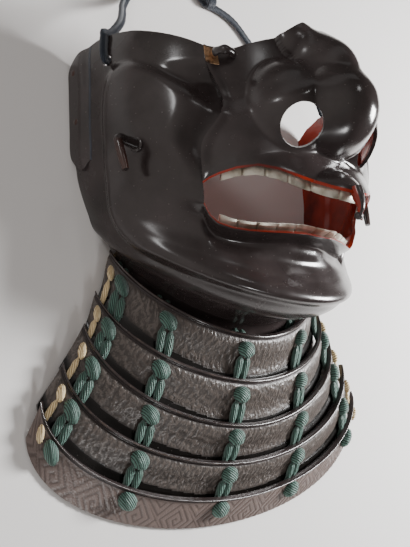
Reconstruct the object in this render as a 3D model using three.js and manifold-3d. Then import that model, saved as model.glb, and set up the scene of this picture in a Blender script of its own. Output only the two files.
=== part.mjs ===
import * as THREE from "three";
import { mergeVertices } from "three/addons/utils/BufferGeometryUtils.js";
import Module from "manifold-3d";

// Samurai face guard: an iron half mask with a throat guard of five laced lames, lying on its back.
// Millimetres. X to the wearer's left, Y up the face, Z forward from the face and up from the table.

const plateThickness = 2.0;
const seamGap = 0.35;
const quarterTurn = 90;
// Middle of the base under the face guard, measured from the middle of the face at the throat.
const origin = { x: -2.5, y: 61.13 };

// Rings of the face from the throat edge up to the top edge.
// Each ring starts on the table at its rear and passes through its front point on the centre line.
const faceRings = [
  { name: "throat edge", rearY: 70, halfWidth: 60, frontY: 26, frontZ: 20, power: 1.75 },
  { name: "neck", rearY: 83, halfWidth: 66, frontY: 43, frontZ: 28, power: 1.8 },
  { name: "under chin", rearY: 88, halfWidth: 73, frontY: 43, frontZ: 53, power: 2.0 },
  { name: "chin ridge", rearY: 95, halfWidth: 76, frontY: 50, frontZ: 65, power: 2.0 },
  { name: "chin", rearY: 103, halfWidth: 79, frontY: 60, frontZ: 62, power: 1.95 },
  { name: "under lip", rearY: 110, halfWidth: 81, frontY: 69, frontZ: 60, power: 1.9 },
  { name: "lower lip", rearY: 117, halfWidth: 82, frontY: 76, frontZ: 66, power: 1.85 },
  { name: "mouth", rearY: 124, halfWidth: 83, frontY: 83, frontZ: 71, power: 1.85 },
  { name: "upper lip", rearY: 131, halfWidth: 83, frontY: 92, frontZ: 77, power: 1.85 },
  { name: "nose base", rearY: 139, halfWidth: 83, frontY: 106, frontZ: 82, power: 2.0 },
  { name: "nose", rearY: 148, halfWidth: 83, frontY: 128, frontZ: 81, power: 2.1 },
  { name: "bridge", rearY: 157, halfWidth: 83, frontY: 150, frontZ: 80, power: 2.1 },
  { name: "brow", rearY: 165, halfWidth: 83, frontY: 168, frontZ: 79, power: 2.1 },
  { name: "top edge", rearY: 172, halfWidth: 82, frontY: 181, frontZ: 74, power: 2.1 },
];

// Rounded forms hammered out of the face; those off the centre line are mirrored.
const faceForms = [
  { name: "nose wing", x: 15.5, y: 134, z: 70, rx: 24, ry: 25, rz: 23, blend: 5 },
  { name: "nose tip", x: 0, y: 133, z: 83, rx: 19, ry: 21, rz: 23.8, blend: 6 },
  { name: "nose ridge", x: 0, y: 147, z: 72, rx: 17, ry: 27.5, rz: 31, blend: 8 },
  { name: "brow point", x: 9.5, y: 168, z: 76, rx: 13, ry: 12, rz: 10.5, blend: 7 },
  { name: "muzzle", x: 0, y: 100, z: 48, rx: 47, ry: 25, rz: 36, blend: 8 },
  { name: "lip point", x: 0, y: 95, z: 70, rx: 17, ry: 14, rz: 22, blend: 10 },
];

// Height of the top edge, as a ring number, at each angle from the centre line.
const topEdge = [
  { angle: 0, ring: 12.25 },
  { angle: 4, ring: 12.3 },
  { angle: 8, ring: 12.42 },
  { angle: 15, ring: 12.0 },
  { angle: 24, ring: 11.7 },
  { angle: 32, ring: 11.42 },
  { angle: 40, ring: 11.45 },
  { angle: 50, ring: 11.9 },
  { angle: 63, ring: 12.5 },
  { angle: 76, ring: 12.95 },
  { angle: 84, ring: 12.75 },
  { angle: 90, ring: 12.2 },
];

// Angle of the nose plate's outer edge at each ring.
const noseEdge = [40, 40, 40, 40, 40, 40, 40, 39.7, 40.6, 41, 35.7, 40.6, 41, 41];

// Lip edges, as ring numbers, from the centre line (0) to the mouth corner (1).
const lipEdges = [
  { across: 0.0, lower: 6.65, upper: 8.5 },
  { across: 0.16, lower: 6.64, upper: 8.5 },
  { across: 0.32, lower: 6.48, upper: 8.57 },
  { across: 0.48, lower: 6.24, upper: 8.66 },
  { across: 0.62, lower: 6.05, upper: 8.64 },
  { across: 0.76, lower: 5.94, upper: 8.42 },
  { across: 0.88, lower: 5.98, upper: 8.1 },
  { across: 0.95, lower: 6.25, upper: 7.85 },
  { across: 1.0, lower: 6.75, upper: 7.6 },
];

const wasm = await Module();
wasm.setup();

const radians = (degrees) => (degrees * Math.PI) / 180;
const clamp = (value, low, high) => Math.min(high, Math.max(low, value));
const mix = (a, b, t) => a + (b - a) * t;

function smoothstep(low, high, value) {
  const t = clamp((value - low) / (high - low), 0, 1);
  return t * t * (3 - 2 * t);
}

function smoothMax(a, b, reach) {
  const h = Math.max(reach - Math.abs(a - b), 0) / reach;
  return Math.max(a, b) + (h * h * reach) / 4;
}

// A smooth curve through evenly spaced values.
function along(values, position) {
  const last = values.length - 1;
  const i = clamp(Math.floor(position), 0, last - 1);
  const t = position - i;
  const p0 = values[Math.max(i - 1, 0)];
  const p1 = values[i];
  const p2 = values[i + 1];
  const p3 = values[Math.min(i + 2, last)];
  const square = (2 * p0 - 5 * p1 + 4 * p2 - p3) * t * t;
  const cube = (3 * p1 - p0 - 3 * p2 + p3) * t * t * t;
  return 0.5 * (2 * p1 + (p2 - p0) * t + square + cube);
}

// A value read from a table along straight lines between its rows.
function lookup(table, key, column, position) {
  const last = table.length - 1;
  if (position >= table[last][key]) {
    return table[last][column];
  }
  const i = table.findIndex((row, n) => n < last && position < table[n + 1][key]);
  const t = (position - table[i][key]) / (table[i + 1][key] - table[i][key]);
  return mix(table[i][column], table[i + 1][column], t);
}

const ringValues = {};
for (const column of ["rearY", "halfWidth", "frontY", "frontZ", "power"]) {
  ringValues[column] = faceRings.map((ring) => ring[column]);
}

const noseEdgeAt = (ring) => along(noseEdge, ring);
const topRingAt = (angle) => lookup(topEdge, "angle", "ring", Math.abs(angle));

// Distance along a ray to the far side of a rounded form, falling away where the ray misses it.
function formReach(form, side, start, ray) {
  const missSlope = 6;
  const radii = new THREE.Vector3(form.rx, form.ry, form.rz);
  const from = new THREE.Vector3(start.x - side * form.x, start.y - form.y, start.z - form.z).divide(radii);
  const step = ray.clone().divide(radii);
  const a = step.dot(step);
  const b = from.dot(step);
  const inside = b * b - a * (from.dot(from) - 1);
  if (inside >= 0) {
    return (-b + Math.sqrt(inside)) / a;
  }
  return (-b - missSlope * Math.sqrt(-inside)) / a;
}

// Start, ray and reach of the face surface at an angle (degrees, wearer's left positive) and ring.
function faceRay(angle, ring) {
  const rearY = along(ringValues.rearY, ring);
  const halfWidth = along(ringValues.halfWidth, ring);
  const frontY = along(ringValues.frontY, ring);
  const frontZ = along(ringValues.frontZ, ring);
  const power = along(ringValues.power, ring);
  const depth = Math.hypot(rearY - frontY, frontZ);
  const s = Math.sin(radians(angle));
  const c = Math.cos(radians(angle));
  const rounded = Math.abs(s / halfWidth) ** power + Math.abs(c / depth) ** power;
  const start = new THREE.Vector3(0, rearY, 0);
  const ray = new THREE.Vector3(s, ((frontY - rearY) / depth) * c, (frontZ / depth) * c);
  let reach = rounded ** (-1 / power);
  for (const form of faceForms) {
    for (const side of form.x ? [1, -1] : [1]) {
      reach = smoothMax(reach, formReach(form, side, start, ray), form.blend);
    }
  }
  return { start, ray, reach };
}

function facePoint(angle, ring, lift) {
  const { start, ray, reach } = faceRay(angle, ring);
  return start.addScaledVector(ray, reach + lift);
}

// Raised cheek inside its plain border band, and the hollow beside the nose plate's edge.
const cheek = { bandTop: 11, bandRear: 75, bandJaw: 2.55, raise: 2.2, fillet: 6, rounding: 16 };
const pitch = { ring: 9, degree: 1.4 };
const hollow = { depth: 6.5, lowRing: 7.4, highRing: 11.1, narrow: 6, wide: 26 };

function cheekLift(angle, ring) {
  const a = Math.abs(angle);
  const fromTop = (topRingAt(a) - ring) * pitch.ring - cheek.bandTop;
  const fromRear = (cheek.bandRear - a) * pitch.degree;
  const fromJaw = (ring - cheek.bandJaw) * pitch.ring;
  const farther = smoothMax(-fromRear, -fromJaw, cheek.rounding);
  const nearest = -smoothMax(-fromTop, farther, cheek.rounding);
  return cheek.raise * smoothstep(0, cheek.fillet, nearest);
}

function hollowDepth(angle, ring) {
  const beside = (Math.abs(angle) - noseEdgeAt(ring)) * pitch.degree;
  const t = clamp((ring - hollow.lowRing) / (hollow.highRing - hollow.lowRing), 0, 1);
  const width = mix(hollow.narrow, hollow.wide, t);
  const fade = smoothstep(0, 0.5, t) * (1 - smoothstep(0.8, 1, t));
  return hollow.depth * fade * (1 - smoothstep(0, width, Math.max(beside, 0)));
}

function cheekPoint(angle, ring, lift) {
  return facePoint(angle, ring, lift + cheekLift(angle, ring) - hollowDepth(angle, ring));
}

// A closed plate from a grid of outer and inner points; cells that are not kept leave an opening.
function plateSolid(columns, rows, outerPoint, innerPoint, keep = () => true) {
  const stride = rows + 1;
  const positions = [];
  for (const point of [outerPoint, innerPoint]) {
    for (let i = 0; i <= columns; i++) {
      for (let j = 0; j <= rows; j++) {
        const p = point(i, j);
        positions.push(p.x - origin.x, p.y - origin.y, p.z);
      }
    }
  }
  const innerStart = (columns + 1) * stride;
  const outer = (i, j) => i * stride + j;
  const inner = (i, j) => innerStart + i * stride + j;
  const kept = (i, j) => i >= 0 && j >= 0 && i < columns && j < rows && keep(i, j);
  const triangles = [];
  const quad = (a, b, c, d) => triangles.push(a, b, c, a, c, d);
  for (let i = 0; i < columns; i++) {
    for (let j = 0; j < rows; j++) {
      if (!kept(i, j)) {
        continue;
      }
      quad(outer(i, j), outer(i + 1, j), outer(i + 1, j + 1), outer(i, j + 1));
      quad(inner(i, j), inner(i, j + 1), inner(i + 1, j + 1), inner(i + 1, j));
      if (!kept(i, j - 1)) {
        quad(outer(i, j), inner(i, j), inner(i + 1, j), outer(i + 1, j));
      }
      if (!kept(i, j + 1)) {
        quad(outer(i + 1, j + 1), inner(i + 1, j + 1), inner(i, j + 1), outer(i, j + 1));
      }
      if (!kept(i - 1, j)) {
        quad(outer(i, j + 1), inner(i, j + 1), inner(i, j), outer(i, j));
      }
      if (!kept(i + 1, j)) {
        quad(outer(i + 1, j), inner(i + 1, j), inner(i + 1, j + 1), outer(i + 1, j + 1));
      }
    }
  }
  const geometry = new THREE.BufferGeometry();
  geometry.setAttribute("position", new THREE.Float32BufferAttribute(positions, 3));
  geometry.setIndex(triangles);
  return geometry;
}

function toManifold(geometry) {
  const bare = geometry.clone();
  bare.deleteAttribute("normal");
  bare.deleteAttribute("uv");
  const merged = mergeVertices(bare, 1e-3);
  const vertProperties = new Float32Array(merged.attributes.position.array);
  const triVerts = new Uint32Array(merged.index.array);
  return new wasm.Manifold(new wasm.Mesh({ numProp: 3, vertProperties, triVerts }));
}

function toGeometry(manifold) {
  const mesh = manifold.getMesh();
  const geometry = new THREE.BufferGeometry();
  geometry.setAttribute("position", new THREE.Float32BufferAttribute(mesh.vertProperties, 3));
  geometry.setIndex(Array.from(mesh.triVerts));
  return geometry;
}

// Face plate: cheeks, jaw, chin, lower lip and throat flange.
// Rows of the grid: rings below the lip, then rings down from the lip edge itself.
const jawRows = [0, 0.45, 0.8, 1.02, 1.4, 2, 2.6, 3.05, 3.6, 4.3];
const lipRows = [1.25, 0.85, 0.45, 0.2, 0];
const faceGrid = { side: 7, mouth: 20, low: jawRows.length + lipRows.length - 1, high: 8 };
const lip = { flare: 2.2, width: 0.35, groove: 2.4, grooveBelow: 0.85, grooveWidth: 0.32 };

// Across the face: 0 centre line, 1 the nose plate's edge, 2 the rear edge.
function acrossAngle(across, ring) {
  const a = Math.abs(across);
  const edge = noseEdgeAt(ring);
  const angle = a <= 1 ? a * edge : mix(edge, quarterTurn, a - 1);
  return Math.sign(across) * angle;
}

function faceColumn(i) {
  const { side, mouth } = faceGrid;
  if (i < side) {
    return -2 + i / side;
  }
  if (i > side + mouth) {
    return 1 + (i - side - mouth) / side;
  }
  return -1 + (2 * (i - side)) / mouth;
}

const topRow = faceRings.length - 1;
const lipRing = (across, column) => lookup(lipEdges, "across", column, Math.min(Math.abs(across), 1));
const bump = (distance, width) => Math.exp(-((distance / width) ** 2));

function facePlatePoint(i, j, lift) {
  const across = faceColumn(i);
  const lipEdge = lipRing(across, "lower");
  let ring = j < jawRows.length ? jawRows[j] : lipEdge - lipRows[j - jawRows.length];
  if (j > faceGrid.low) {
    const top = topRingAt(acrossAngle(across, topRow));
    ring = mix(lipEdge, top, (j - faceGrid.low) / faceGrid.high);
  }
  const onLip = 1 - smoothstep(0.9, 1.2, Math.abs(across));
  const flare = lip.flare * bump(lipEdge - ring, lip.width);
  const groove = lip.groove * bump(lipEdge - ring - lip.grooveBelow, lip.grooveWidth);
  return cheekPoint(acrossAngle(across, ring), ring, lift + onLip * (flare - groove));
}

const besideMouth = (i) => i < faceGrid.side || i >= faceGrid.side + faceGrid.mouth;

function faceShell(outerLift, innerLift) {
  return plateSolid(
    2 * faceGrid.side + faceGrid.mouth,
    faceGrid.low + faceGrid.high,
    (i, j) => facePlatePoint(i, j, outerLift),
    (i, j) => facePlatePoint(i, j, innerLift),
    (i, j) => j < faceGrid.low || besideMouth(i),
  );
}

// Nose plate: nose, upper lip and beak, its outer edges turned down into the hollows.
const noseGrid = { columns: 26, rows: 15 };
const edgeBead = { height: 1.0, width: 0.09 };
const noseShare = 0.988;

function nosePlatePoint(i, j, lift, skirt) {
  const across = noseShare * (-1 + (2 * i) / noseGrid.columns);
  const lipEdge = lipRing(across, "upper");
  const top = topRingAt(acrossAngle(across, topRow));
  const ring = mix(lipEdge, top, j / noseGrid.rows);
  const angle = acrossAngle(across, ring);
  const flare = lip.flare * bump(ring - lipEdge, lip.width);
  const bead = edgeBead.height * smoothstep(1 - edgeBead.width, 1, Math.abs(across));
  const onEdge = i === 0 || i === noseGrid.columns;
  const drop = onEdge ? skirt * hollowDepth(angle, ring) : 0;
  return facePoint(angle, ring, cheekLift(angle, ring) + lift + flare + bead - drop);
}

function noseShell(outerLift, innerLift) {
  return plateSolid(
    noseGrid.columns,
    noseGrid.rows,
    (i, j) => nosePlatePoint(i, j, outerLift, 0),
    (i, j) => nosePlatePoint(i, j, innerLift, 1),
  );
}

// A closed tube through rings of points, capped at both ends.
function loftSolid(rings) {
  const sides = rings[0].length;
  const positions = [];
  for (const ring of rings) {
    for (const p of ring) {
      positions.push(p.x, p.y, p.z);
    }
  }
  const triangles = [];
  for (let k = 0; k + 1 < rings.length; k++) {
    for (let i = 0; i < sides; i++) {
      const a = k * sides + i;
      const b = k * sides + ((i + 1) % sides);
      triangles.push(a, b, b + sides, a, b + sides, a + sides);
    }
  }
  const last = (rings.length - 1) * sides;
  for (let i = 1; i + 1 < sides; i++) {
    triangles.push(0, i + 1, i);
    triangles.push(last, last + i, last + i + 1);
  }
  const geometry = new THREE.BufferGeometry();
  geometry.setAttribute("position", new THREE.Float32BufferAttribute(positions, 3));
  geometry.setIndex(triangles);
  return geometry;
}

// An oval section in the plane of two directions.
function ovalRing(centre, across, up, halfWide, halfHigh, sides) {
  const points = [];
  for (let i = 0; i < sides; i++) {
    const turn = (2 * Math.PI * (i + 0.5)) / sides;
    const p = centre.clone();
    p.addScaledVector(across, halfWide * Math.cos(turn));
    p.addScaledVector(up, halfHigh * Math.sin(turn));
    points.push(p);
  }
  return points;
}

const vector = (x, y, z) => new THREE.Vector3(x, y, z);
const settle = (point) => point.sub(vector(origin.x, origin.y, 0));

// A round bar through points, its radius given at each.
function barSolid(points, radii, sides) {
  const rings = points.map((p, k) => {
    const before = points[Math.max(k - 1, 0)];
    const after = points[Math.min(k + 1, points.length - 1)];
    const heading = after.clone().sub(before).normalize();
    const across = vector(1, 0, 0).cross(heading).normalize();
    const up = heading.clone().cross(across);
    return ovalRing(p, across, up, radii[k], radii[k], sides);
  });
  return loftSolid(rings);
}

function ballSolid(centre, radius, sides) {
  const geometry = new THREE.SphereGeometry(radius, sides, sides / 2);
  return geometry.translate(centre.x, centre.y, centre.z);
}

// A straight cutter along a direction, centred on a point.
function boreSolid(centre, direction, radius, length, sides) {
  const geometry = new THREE.CylinderGeometry(radius, radius, length, sides);
  const turn = new THREE.Quaternion().setFromUnitVectors(vector(0, 1, 0), direction);
  return geometry.applyQuaternion(turn).translate(centre.x, centre.y, centre.z);
}

// Nostrils bored through the wings, and the hooked beak with its ball on the upper lip.
const nostril = { angle: 14.4, ring: 9.76, radius: 9.7, length: 44, sides: 16 };
const nostrilAxis = vector(0.48, -0.66, 0.58).normalize();
const beak = { rootRing: 8.62, ballRadius: 1.7, sides: 8 };
const beakPath = [
  { out: 1.5, drop: 0, radius: 3.0 },
  { out: 2.6, drop: 4.5, radius: 2.7 },
  { out: 3.2, drop: 9, radius: 1.7 },
  { out: 1.6, drop: 12.5, radius: 0.9 },
];

let noseBody = toManifold(noseShell(0, -plateThickness));
for (const side of [-1, 1]) {
  const centre = settle(facePoint(side * nostril.angle, nostril.ring, 0));
  const axis = vector(side * nostrilAxis.x, nostrilAxis.y, nostrilAxis.z);
  const bore = boreSolid(centre, axis, nostril.radius, nostril.length, nostril.sides);
  noseBody = noseBody.subtract(toManifold(bore));
}
const beakRoot = settle(facePoint(0, beak.rootRing, lip.flare));
const beakPoints = beakPath.map((row) => beakRoot.clone().add(vector(0, -row.drop, row.out)));
const beakTip = beakPoints[beakPoints.length - 1];
const beakRadii = beakPath.map((row) => row.radius);
noseBody = noseBody.add(toManifold(barSolid(beakPoints, beakRadii, beak.sides)));
noseBody = noseBody.add(toManifold(ballSolid(beakTip, beak.ballRadius, beak.sides)));
const nosePlate = toGeometry(noseBody);

// Teeth: one strip behind each lip edge.
const teeth = { columns: 20, reach: 0.2, hidden: 0.15, thickness: 1.2, span: 0.87, clearance: 1.0 };

function teethPoint(column, i, j, lift) {
  const across = teeth.span * (-1 + (2 * i) / teeth.columns);
  const inward = column === "upper" ? -1 : 1;
  const lipEdge = lipRing(across, column);
  const share = column === "upper" ? 1 - j : j;
  const ring = lipEdge + inward * mix(-teeth.hidden, teeth.reach, share);
  const flare = lip.flare * bump(teeth.hidden, lip.width);
  const depth = plateThickness + teeth.clearance;
  const angle = acrossAngle(across, ring);
  return facePoint(angle, ring, lift + cheekLift(angle, ring) + flare - depth);
}

function teethSolid(column) {
  const outer = (i, j) => teethPoint(column, i, j, 0);
  const inner = (i, j) => teethPoint(column, i, j, -teeth.thickness);
  return plateSolid(teeth.columns, 1, outer, inner);
}

// Ear plates: strips laid over the rear edge of each cheek, their free corners rounded.
const ear = { frontAngle: 80, lowRing: 7.0, drop: 1.0, highRing: 12.55, slope: 0.25, thickness: 1.6 };
const earCorner = { start: 0.3, dropEnd: 0.5, low: 0.7, high: 1.1 };
const earGrid = { columns: 4, rows: 8 };

function earPoint(side, i, j, lift) {
  const share = side < 0 ? 1 - i / earGrid.columns : i / earGrid.columns;
  const turn = clamp((share - earCorner.start) / (1 - earCorner.start), 0, 1);
  const rounding = 1 - Math.sqrt(1 - turn ** 2);
  const low = ear.lowRing - ear.drop * smoothstep(0, earCorner.dropEnd, share) + earCorner.low * rounding;
  const high = ear.highRing + ear.slope * (1 - share) - earCorner.high * rounding;
  const angle = side * mix(ear.frontAngle, quarterTurn, share);
  return cheekPoint(angle, mix(low, high, j / earGrid.rows), lift + seamGap);
}

function earSolid(side) {
  const outer = (i, j) => earPoint(side, i, j, ear.thickness);
  const inner = (i, j) => earPoint(side, i, j, 0);
  return plateSolid(earGrid.columns, earGrid.rows, outer, inner);
}

// Cord pegs: a post standing on the cheek with a bar bent toward the chin.
// Pegs and hooks start inside the plate and are trimmed back to a seam over its face.
const seatDepth = 8;
const faceSeat = toManifold(faceShell(seamGap, -seatDepth));
const noseSeat = toManifold(noseShell(seamGap, -seatDepth));
const peg = { angle: 60.5, ring: 8.44, root: -3, post: 18, bar: 15, sides: 10 };
const pegWaist = { share: 0.78, radius: 2.2 };
const pegElbow = { share: 0.26, radius: 1.9 };
const pegEnds = { footRadius: 2.6, tipRadius: 1.5 };
const pegPost = vector(0.97, -0.03, 0.22).normalize();
const pegBar = vector(-0.12, -0.9, 0.15).normalize();

function pegSolid(side) {
  const mirrored = (v) => vector(side * v.x, v.y, v.z);
  const foot = settle(cheekPoint(side * peg.angle, peg.ring, peg.root));
  const elbow = foot.clone().addScaledVector(mirrored(pegPost), peg.post + peg.root);
  const tip = elbow.clone().addScaledVector(mirrored(pegBar), peg.bar);
  const waist = foot.clone().lerp(elbow, pegWaist.share);
  const corner = elbow.clone().lerp(tip, pegElbow.share);
  const radii = [pegEnds.footRadius, pegWaist.radius, pegElbow.radius, pegElbow.radius, pegEnds.tipRadius];
  const bar = barSolid([foot, waist, elbow, corner, tip], radii, peg.sides);
  return toGeometry(toManifold(bar).subtract(faceSeat));
}

// Nose hooks: a small staple standing on each top corner of the nose plate.
const hook = { across: 0.86, belowTop: 0.22, span: 4.6, root: -1, rise: 6.5, radius: 1.3 };
const hookGrid = { sides: 6, steps: 6, nudge: 0.02 };

function hookSolid(side) {
  const ring = topRingAt(acrossAngle(hook.across, topRow)) - hook.belowTop;
  const at = (across, lift) => settle(facePoint(side * acrossAngle(across, ring), ring, lift));
  const middle = at(hook.across, cheekLift(acrossAngle(hook.across, ring), ring) + hook.root);
  const outward = at(hook.across, 1).sub(at(hook.across, 0)).normalize();
  const sideways = at(hook.across - hookGrid.nudge, 0).sub(at(hook.across, 0)).normalize();
  const points = [];
  for (let k = 0; k <= hookGrid.steps; k++) {
    const turn = Math.PI * (k / hookGrid.steps);
    const p = middle.clone().addScaledVector(sideways, hook.span * Math.cos(turn));
    points.push(p.addScaledVector(outward, hook.rise * Math.sin(turn)));
  }
  const staple = barSolid(points, points.map(() => hook.radius), hookGrid.sides);
  return toGeometry(toManifold(staple).subtract(noseSeat));
}

// Throat guard: rims of the five lames and the lower edge of the last, each a ring over the table.
// The last lame lies a little toward the wearer's right.
const lameRims = [
  { halfWidth: 67, shift: 0, rearY: 78, rearZ: 4.5, frontY: 37.5, frontZ: 31, power: 1.8 },
  { halfWidth: 76, shift: 0, rearY: 58, rearZ: 5, frontY: 16.5, frontZ: 25.5, power: 1.83 },
  { halfWidth: 83, shift: 0, rearY: 43, rearZ: 6, frontY: -4.5, frontZ: 21.5, power: 1.88 },
  { halfWidth: 94, shift: 0, rearY: 26, rearZ: 6.5, frontY: -22, frontZ: 15.5, power: 1.93 },
  { halfWidth: 103.5, shift: -0.5, rearY: 10, rearZ: 6, frontY: -39, frontZ: 9.5, power: 1.95 },
  { halfWidth: 106.5, shift: -2.5, rearY: -4, rearZ: 1.45, frontY: -52, frontZ: 1.45, power: 2 },
];
const lameCount = lameRims.length - 1;
const lame = { thickness: 1.5, tuck: 4, tuckStart: 0.2, tuckEnd: 0.85, rim: 0.9, rimBand: 0.1 };
const lameGrid = { segments: 24, crowding: 1.25, angleStep: 0.5, downStep: 0.05 };
const lameBands = [1.06, 0.85, 0.45, 0.13, 0.08, 0];
const lastBands = [1, 0.7, 0.4, 0.13, 0.08, 0];

function rimPoint(k, angle) {
  const rim = lameRims[k];
  const depth = Math.hypot(rim.frontY - rim.rearY, rim.frontZ - rim.rearZ);
  const s = Math.sin(radians(angle));
  const c = Math.cos(radians(angle));
  const rounded = Math.abs(s / rim.halfWidth) ** rim.power + Math.abs(c / depth) ** rim.power;
  const reach = rounded ** (-1 / rim.power);
  const forward = (reach * c) / depth;
  const y = rim.rearY + (rim.frontY - rim.rearY) * forward;
  const z = rim.rearZ + (rim.frontZ - rim.rearZ) * forward;
  return vector(rim.shift + reach * s, y, z);
}

const lameLoft = (k, angle, down) => rimPoint(k, angle).lerp(rimPoint(k + 1, angle), down);

// Point, outward, sideways and upward directions on a lame's outer face.
// The lower part of every lame but the last tucks in under the next rim.
function lameFrame(k, angle, down) {
  const { angleStep, downStep } = lameGrid;
  const left = lameLoft(k, angle + angleStep, down);
  const right = lameLoft(k, angle - angleStep, down);
  const above = lameLoft(k, angle, down - downStep);
  const below = lameLoft(k, angle, down + downStep);
  const sideways = left.sub(right).normalize();
  const upward = above.sub(below).normalize();
  const outward = sideways.clone().cross(upward).normalize();
  const tuck = k + 1 < lameCount ? lame.tuck * smoothstep(lame.tuckStart, lame.tuckEnd, down) : 0;
  const point = lameLoft(k, angle, down).addScaledVector(outward, -tuck);
  return { point, outward, sideways, upward };
}

function lamePoint(k, i, j, lift) {
  const bands = k + 1 < lameCount ? lameBands : lastBands;
  const share = mix(-1, 1, i / lameGrid.segments);
  const angle = quarterTurn * Math.sign(share) * (1 - (1 - Math.abs(share)) ** lameGrid.crowding);
  const { point, outward } = lameFrame(k, angle, bands[j]);
  const rim = lift === 0 && bands[j] < lame.rimBand ? lame.rim : 0;
  return point.addScaledVector(outward, lift + rim);
}

// Lacing: columns of flat paired strands that pass from lame to lame, with a knot on each.
// A column leans by some degrees from each lame to the next.
const lacing = { angles: [-79, -56.5, -9, 45, 79], lean: -0.5, down: 0.35, holeWide: 3.9, holeHigh: 2 };
const laceKnot = { wide: 4.3, high: 4.1, deep: 2.5, lift: 2.9, sides: 6 };
const laceStrand = { offsets: [-1.75, 1.75], halfWide: 2.1, halfDeep: 0.8 };
const edgeLacing = { angles: [-85.5, 85.5], lean: 0, down: 0.35, holeWide: 1.6, holeHigh: 1.8 };
const edgeKnot = { wide: 2.2, high: 2.9, deep: 1.9, lift: 2.3, sides: 6 };
const edgeStrand = { offsets: [0], halfWide: 1.3, halfDeep: 0.75 };
const strandSides = 4;
const slotSides = 6;
const boreLength = 9;
const flange = { ring: 0.74, rise: 0.03, fall: 0.25, behind: -3.5 };
const strandLift = { over: 1.4, middle: 1.75, behind: -2.7, entry: -2.5, through: 1.6 };
const strandDown = { above: -0.13, enter: -0.01, leave: 0.01, start: 0.02, middle: 0.6, end: 0.98 };

// A spot on a lame's outer face, moved round the face by a distance and lifted off it.
function lameSpot(k, angle, down, lift, offset) {
  const arc = lameLoft(k, angle + 1, down).distanceTo(lameLoft(k, angle, down));
  const { point, outward, sideways } = lameFrame(k, angle + offset / arc, down);
  return { point: settle(point.addScaledVector(outward, lift)), outward, sideways };
}

// The same on the throat flange, where the first lame hangs.
function flangeSpot(angle, ring, lift, offset) {
  const arc = cheekPoint(angle + 1, ring, 0).distanceTo(cheekPoint(angle, ring, 0));
  const turned = angle + offset / arc;
  const surface = cheekPoint(turned, ring, 0);
  const outward = cheekPoint(turned, ring, 1).sub(surface).normalize();
  const sideways = cheekPoint(turned + 1, ring, 0).sub(surface).normalize();
  return { point: settle(surface.addScaledVector(outward, lift)), outward, sideways };
}

function strandSolid(spots, strand) {
  const rings = spots.map(({ point, sideways }, n) => {
    const before = spots[Math.max(n - 1, 0)].point;
    const after = spots[Math.min(n + 1, spots.length - 1)].point;
    const heading = after.clone().sub(before).normalize();
    const up = heading.clone().cross(sideways).normalize();
    return ovalRing(point, sideways, up, strand.halfWide, strand.halfDeep, strandSides);
  });
  return loftSolid(rings);
}

const columnAngle = (angle, row, k) => angle + row.lean * k;

// The end of a strand that comes from behind a lame, through its slot and into the knot.
function throughSlot(k, angle, down, offset) {
  return [
    lameSpot(k, angle, down + strandDown.above, strandLift.behind, offset),
    lameSpot(k, angle, down + strandDown.enter, strandLift.entry, offset),
    lameSpot(k, angle, down + strandDown.leave, strandLift.through, offset),
  ];
}

function knotSolid(k, angle, down, size) {
  const { outward, sideways, upward } = lameFrame(k, angle, down);
  const geometry = new THREE.SphereGeometry(1, size.sides, size.sides / 2);
  geometry.scale(size.wide, size.high, size.deep);
  geometry.applyMatrix4(new THREE.Matrix4().makeBasis(sideways, upward, outward));
  const centre = lameSpot(k, angle, down, size.lift, 0).point;
  return geometry.translate(centre.x, centre.y, centre.z);
}

function hangerSpots(angle, row, offset) {
  return [
    flangeSpot(angle, flange.ring + flange.rise, flange.behind, offset),
    flangeSpot(angle, flange.ring, strandLift.over, offset),
    flangeSpot(angle, flange.ring - flange.fall, strandLift.over, offset),
    ...throughSlot(0, angle, row.down, offset),
  ];
}

function runSpots(k, angle, nextAngle, row, offset) {
  return [
    lameSpot(k, angle, row.down + strandDown.start, strandLift.through, offset),
    lameSpot(k, angle, strandDown.middle, strandLift.middle, offset),
    lameSpot(k, angle, strandDown.end, strandLift.over, offset),
    ...throughSlot(k + 1, nextAngle, row.down, offset),
  ];
}

function laceSolid(angle, row, size, strand) {
  let lace = toManifold(knotSolid(0, angle, row.down, size));
  for (let k = 1; k < lameCount; k++) {
    lace = lace.add(toManifold(knotSolid(k, columnAngle(angle, row, k), row.down, size)));
  }
  for (const offset of strand.offsets) {
    lace = lace.add(toManifold(strandSolid(hangerSpots(angle, row, offset), strand)));
    for (let k = 0; k + 1 < lameCount; k++) {
      const here = columnAngle(angle, row, k);
      const next = columnAngle(angle, row, k + 1);
      lace = lace.add(toManifold(strandSolid(runSpots(k, here, next, row, offset), strand)));
    }
  }
  return toGeometry(lace);
}

// Slots for both kinds of lacing, one to each column.
const slots = [lacing, edgeLacing].flatMap((row) => row.angles.map((angle) => ({ angle, row })));

function slotSolid({ point, outward, sideways }, row) {
  const geometry = new THREE.CylinderGeometry(1, 1, boreLength, slotSides);
  geometry.scale(row.holeWide, 1, row.holeHigh);
  const lengthwise = sideways.clone().addScaledVector(outward, -sideways.dot(outward)).normalize();
  const crosswise = lengthwise.clone().cross(outward);
  geometry.applyMatrix4(new THREE.Matrix4().makeBasis(lengthwise, outward, crosswise));
  return geometry.translate(point.x, point.y, point.z);
}

function lameWithSlots(k) {
  const outer = (i, j) => lamePoint(k, i, j, 0);
  const inner = (i, j) => lamePoint(k, i, j, -lame.thickness);
  let body = toManifold(plateSolid(lameGrid.segments, lameBands.length - 1, outer, inner));
  for (const { angle, row } of slots) {
    const spot = lameSpot(k, columnAngle(angle, row, k), row.down, 0, 0);
    body = body.subtract(toManifold(slotSolid(spot, row)));
  }
  return toGeometry(body);
}

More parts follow.
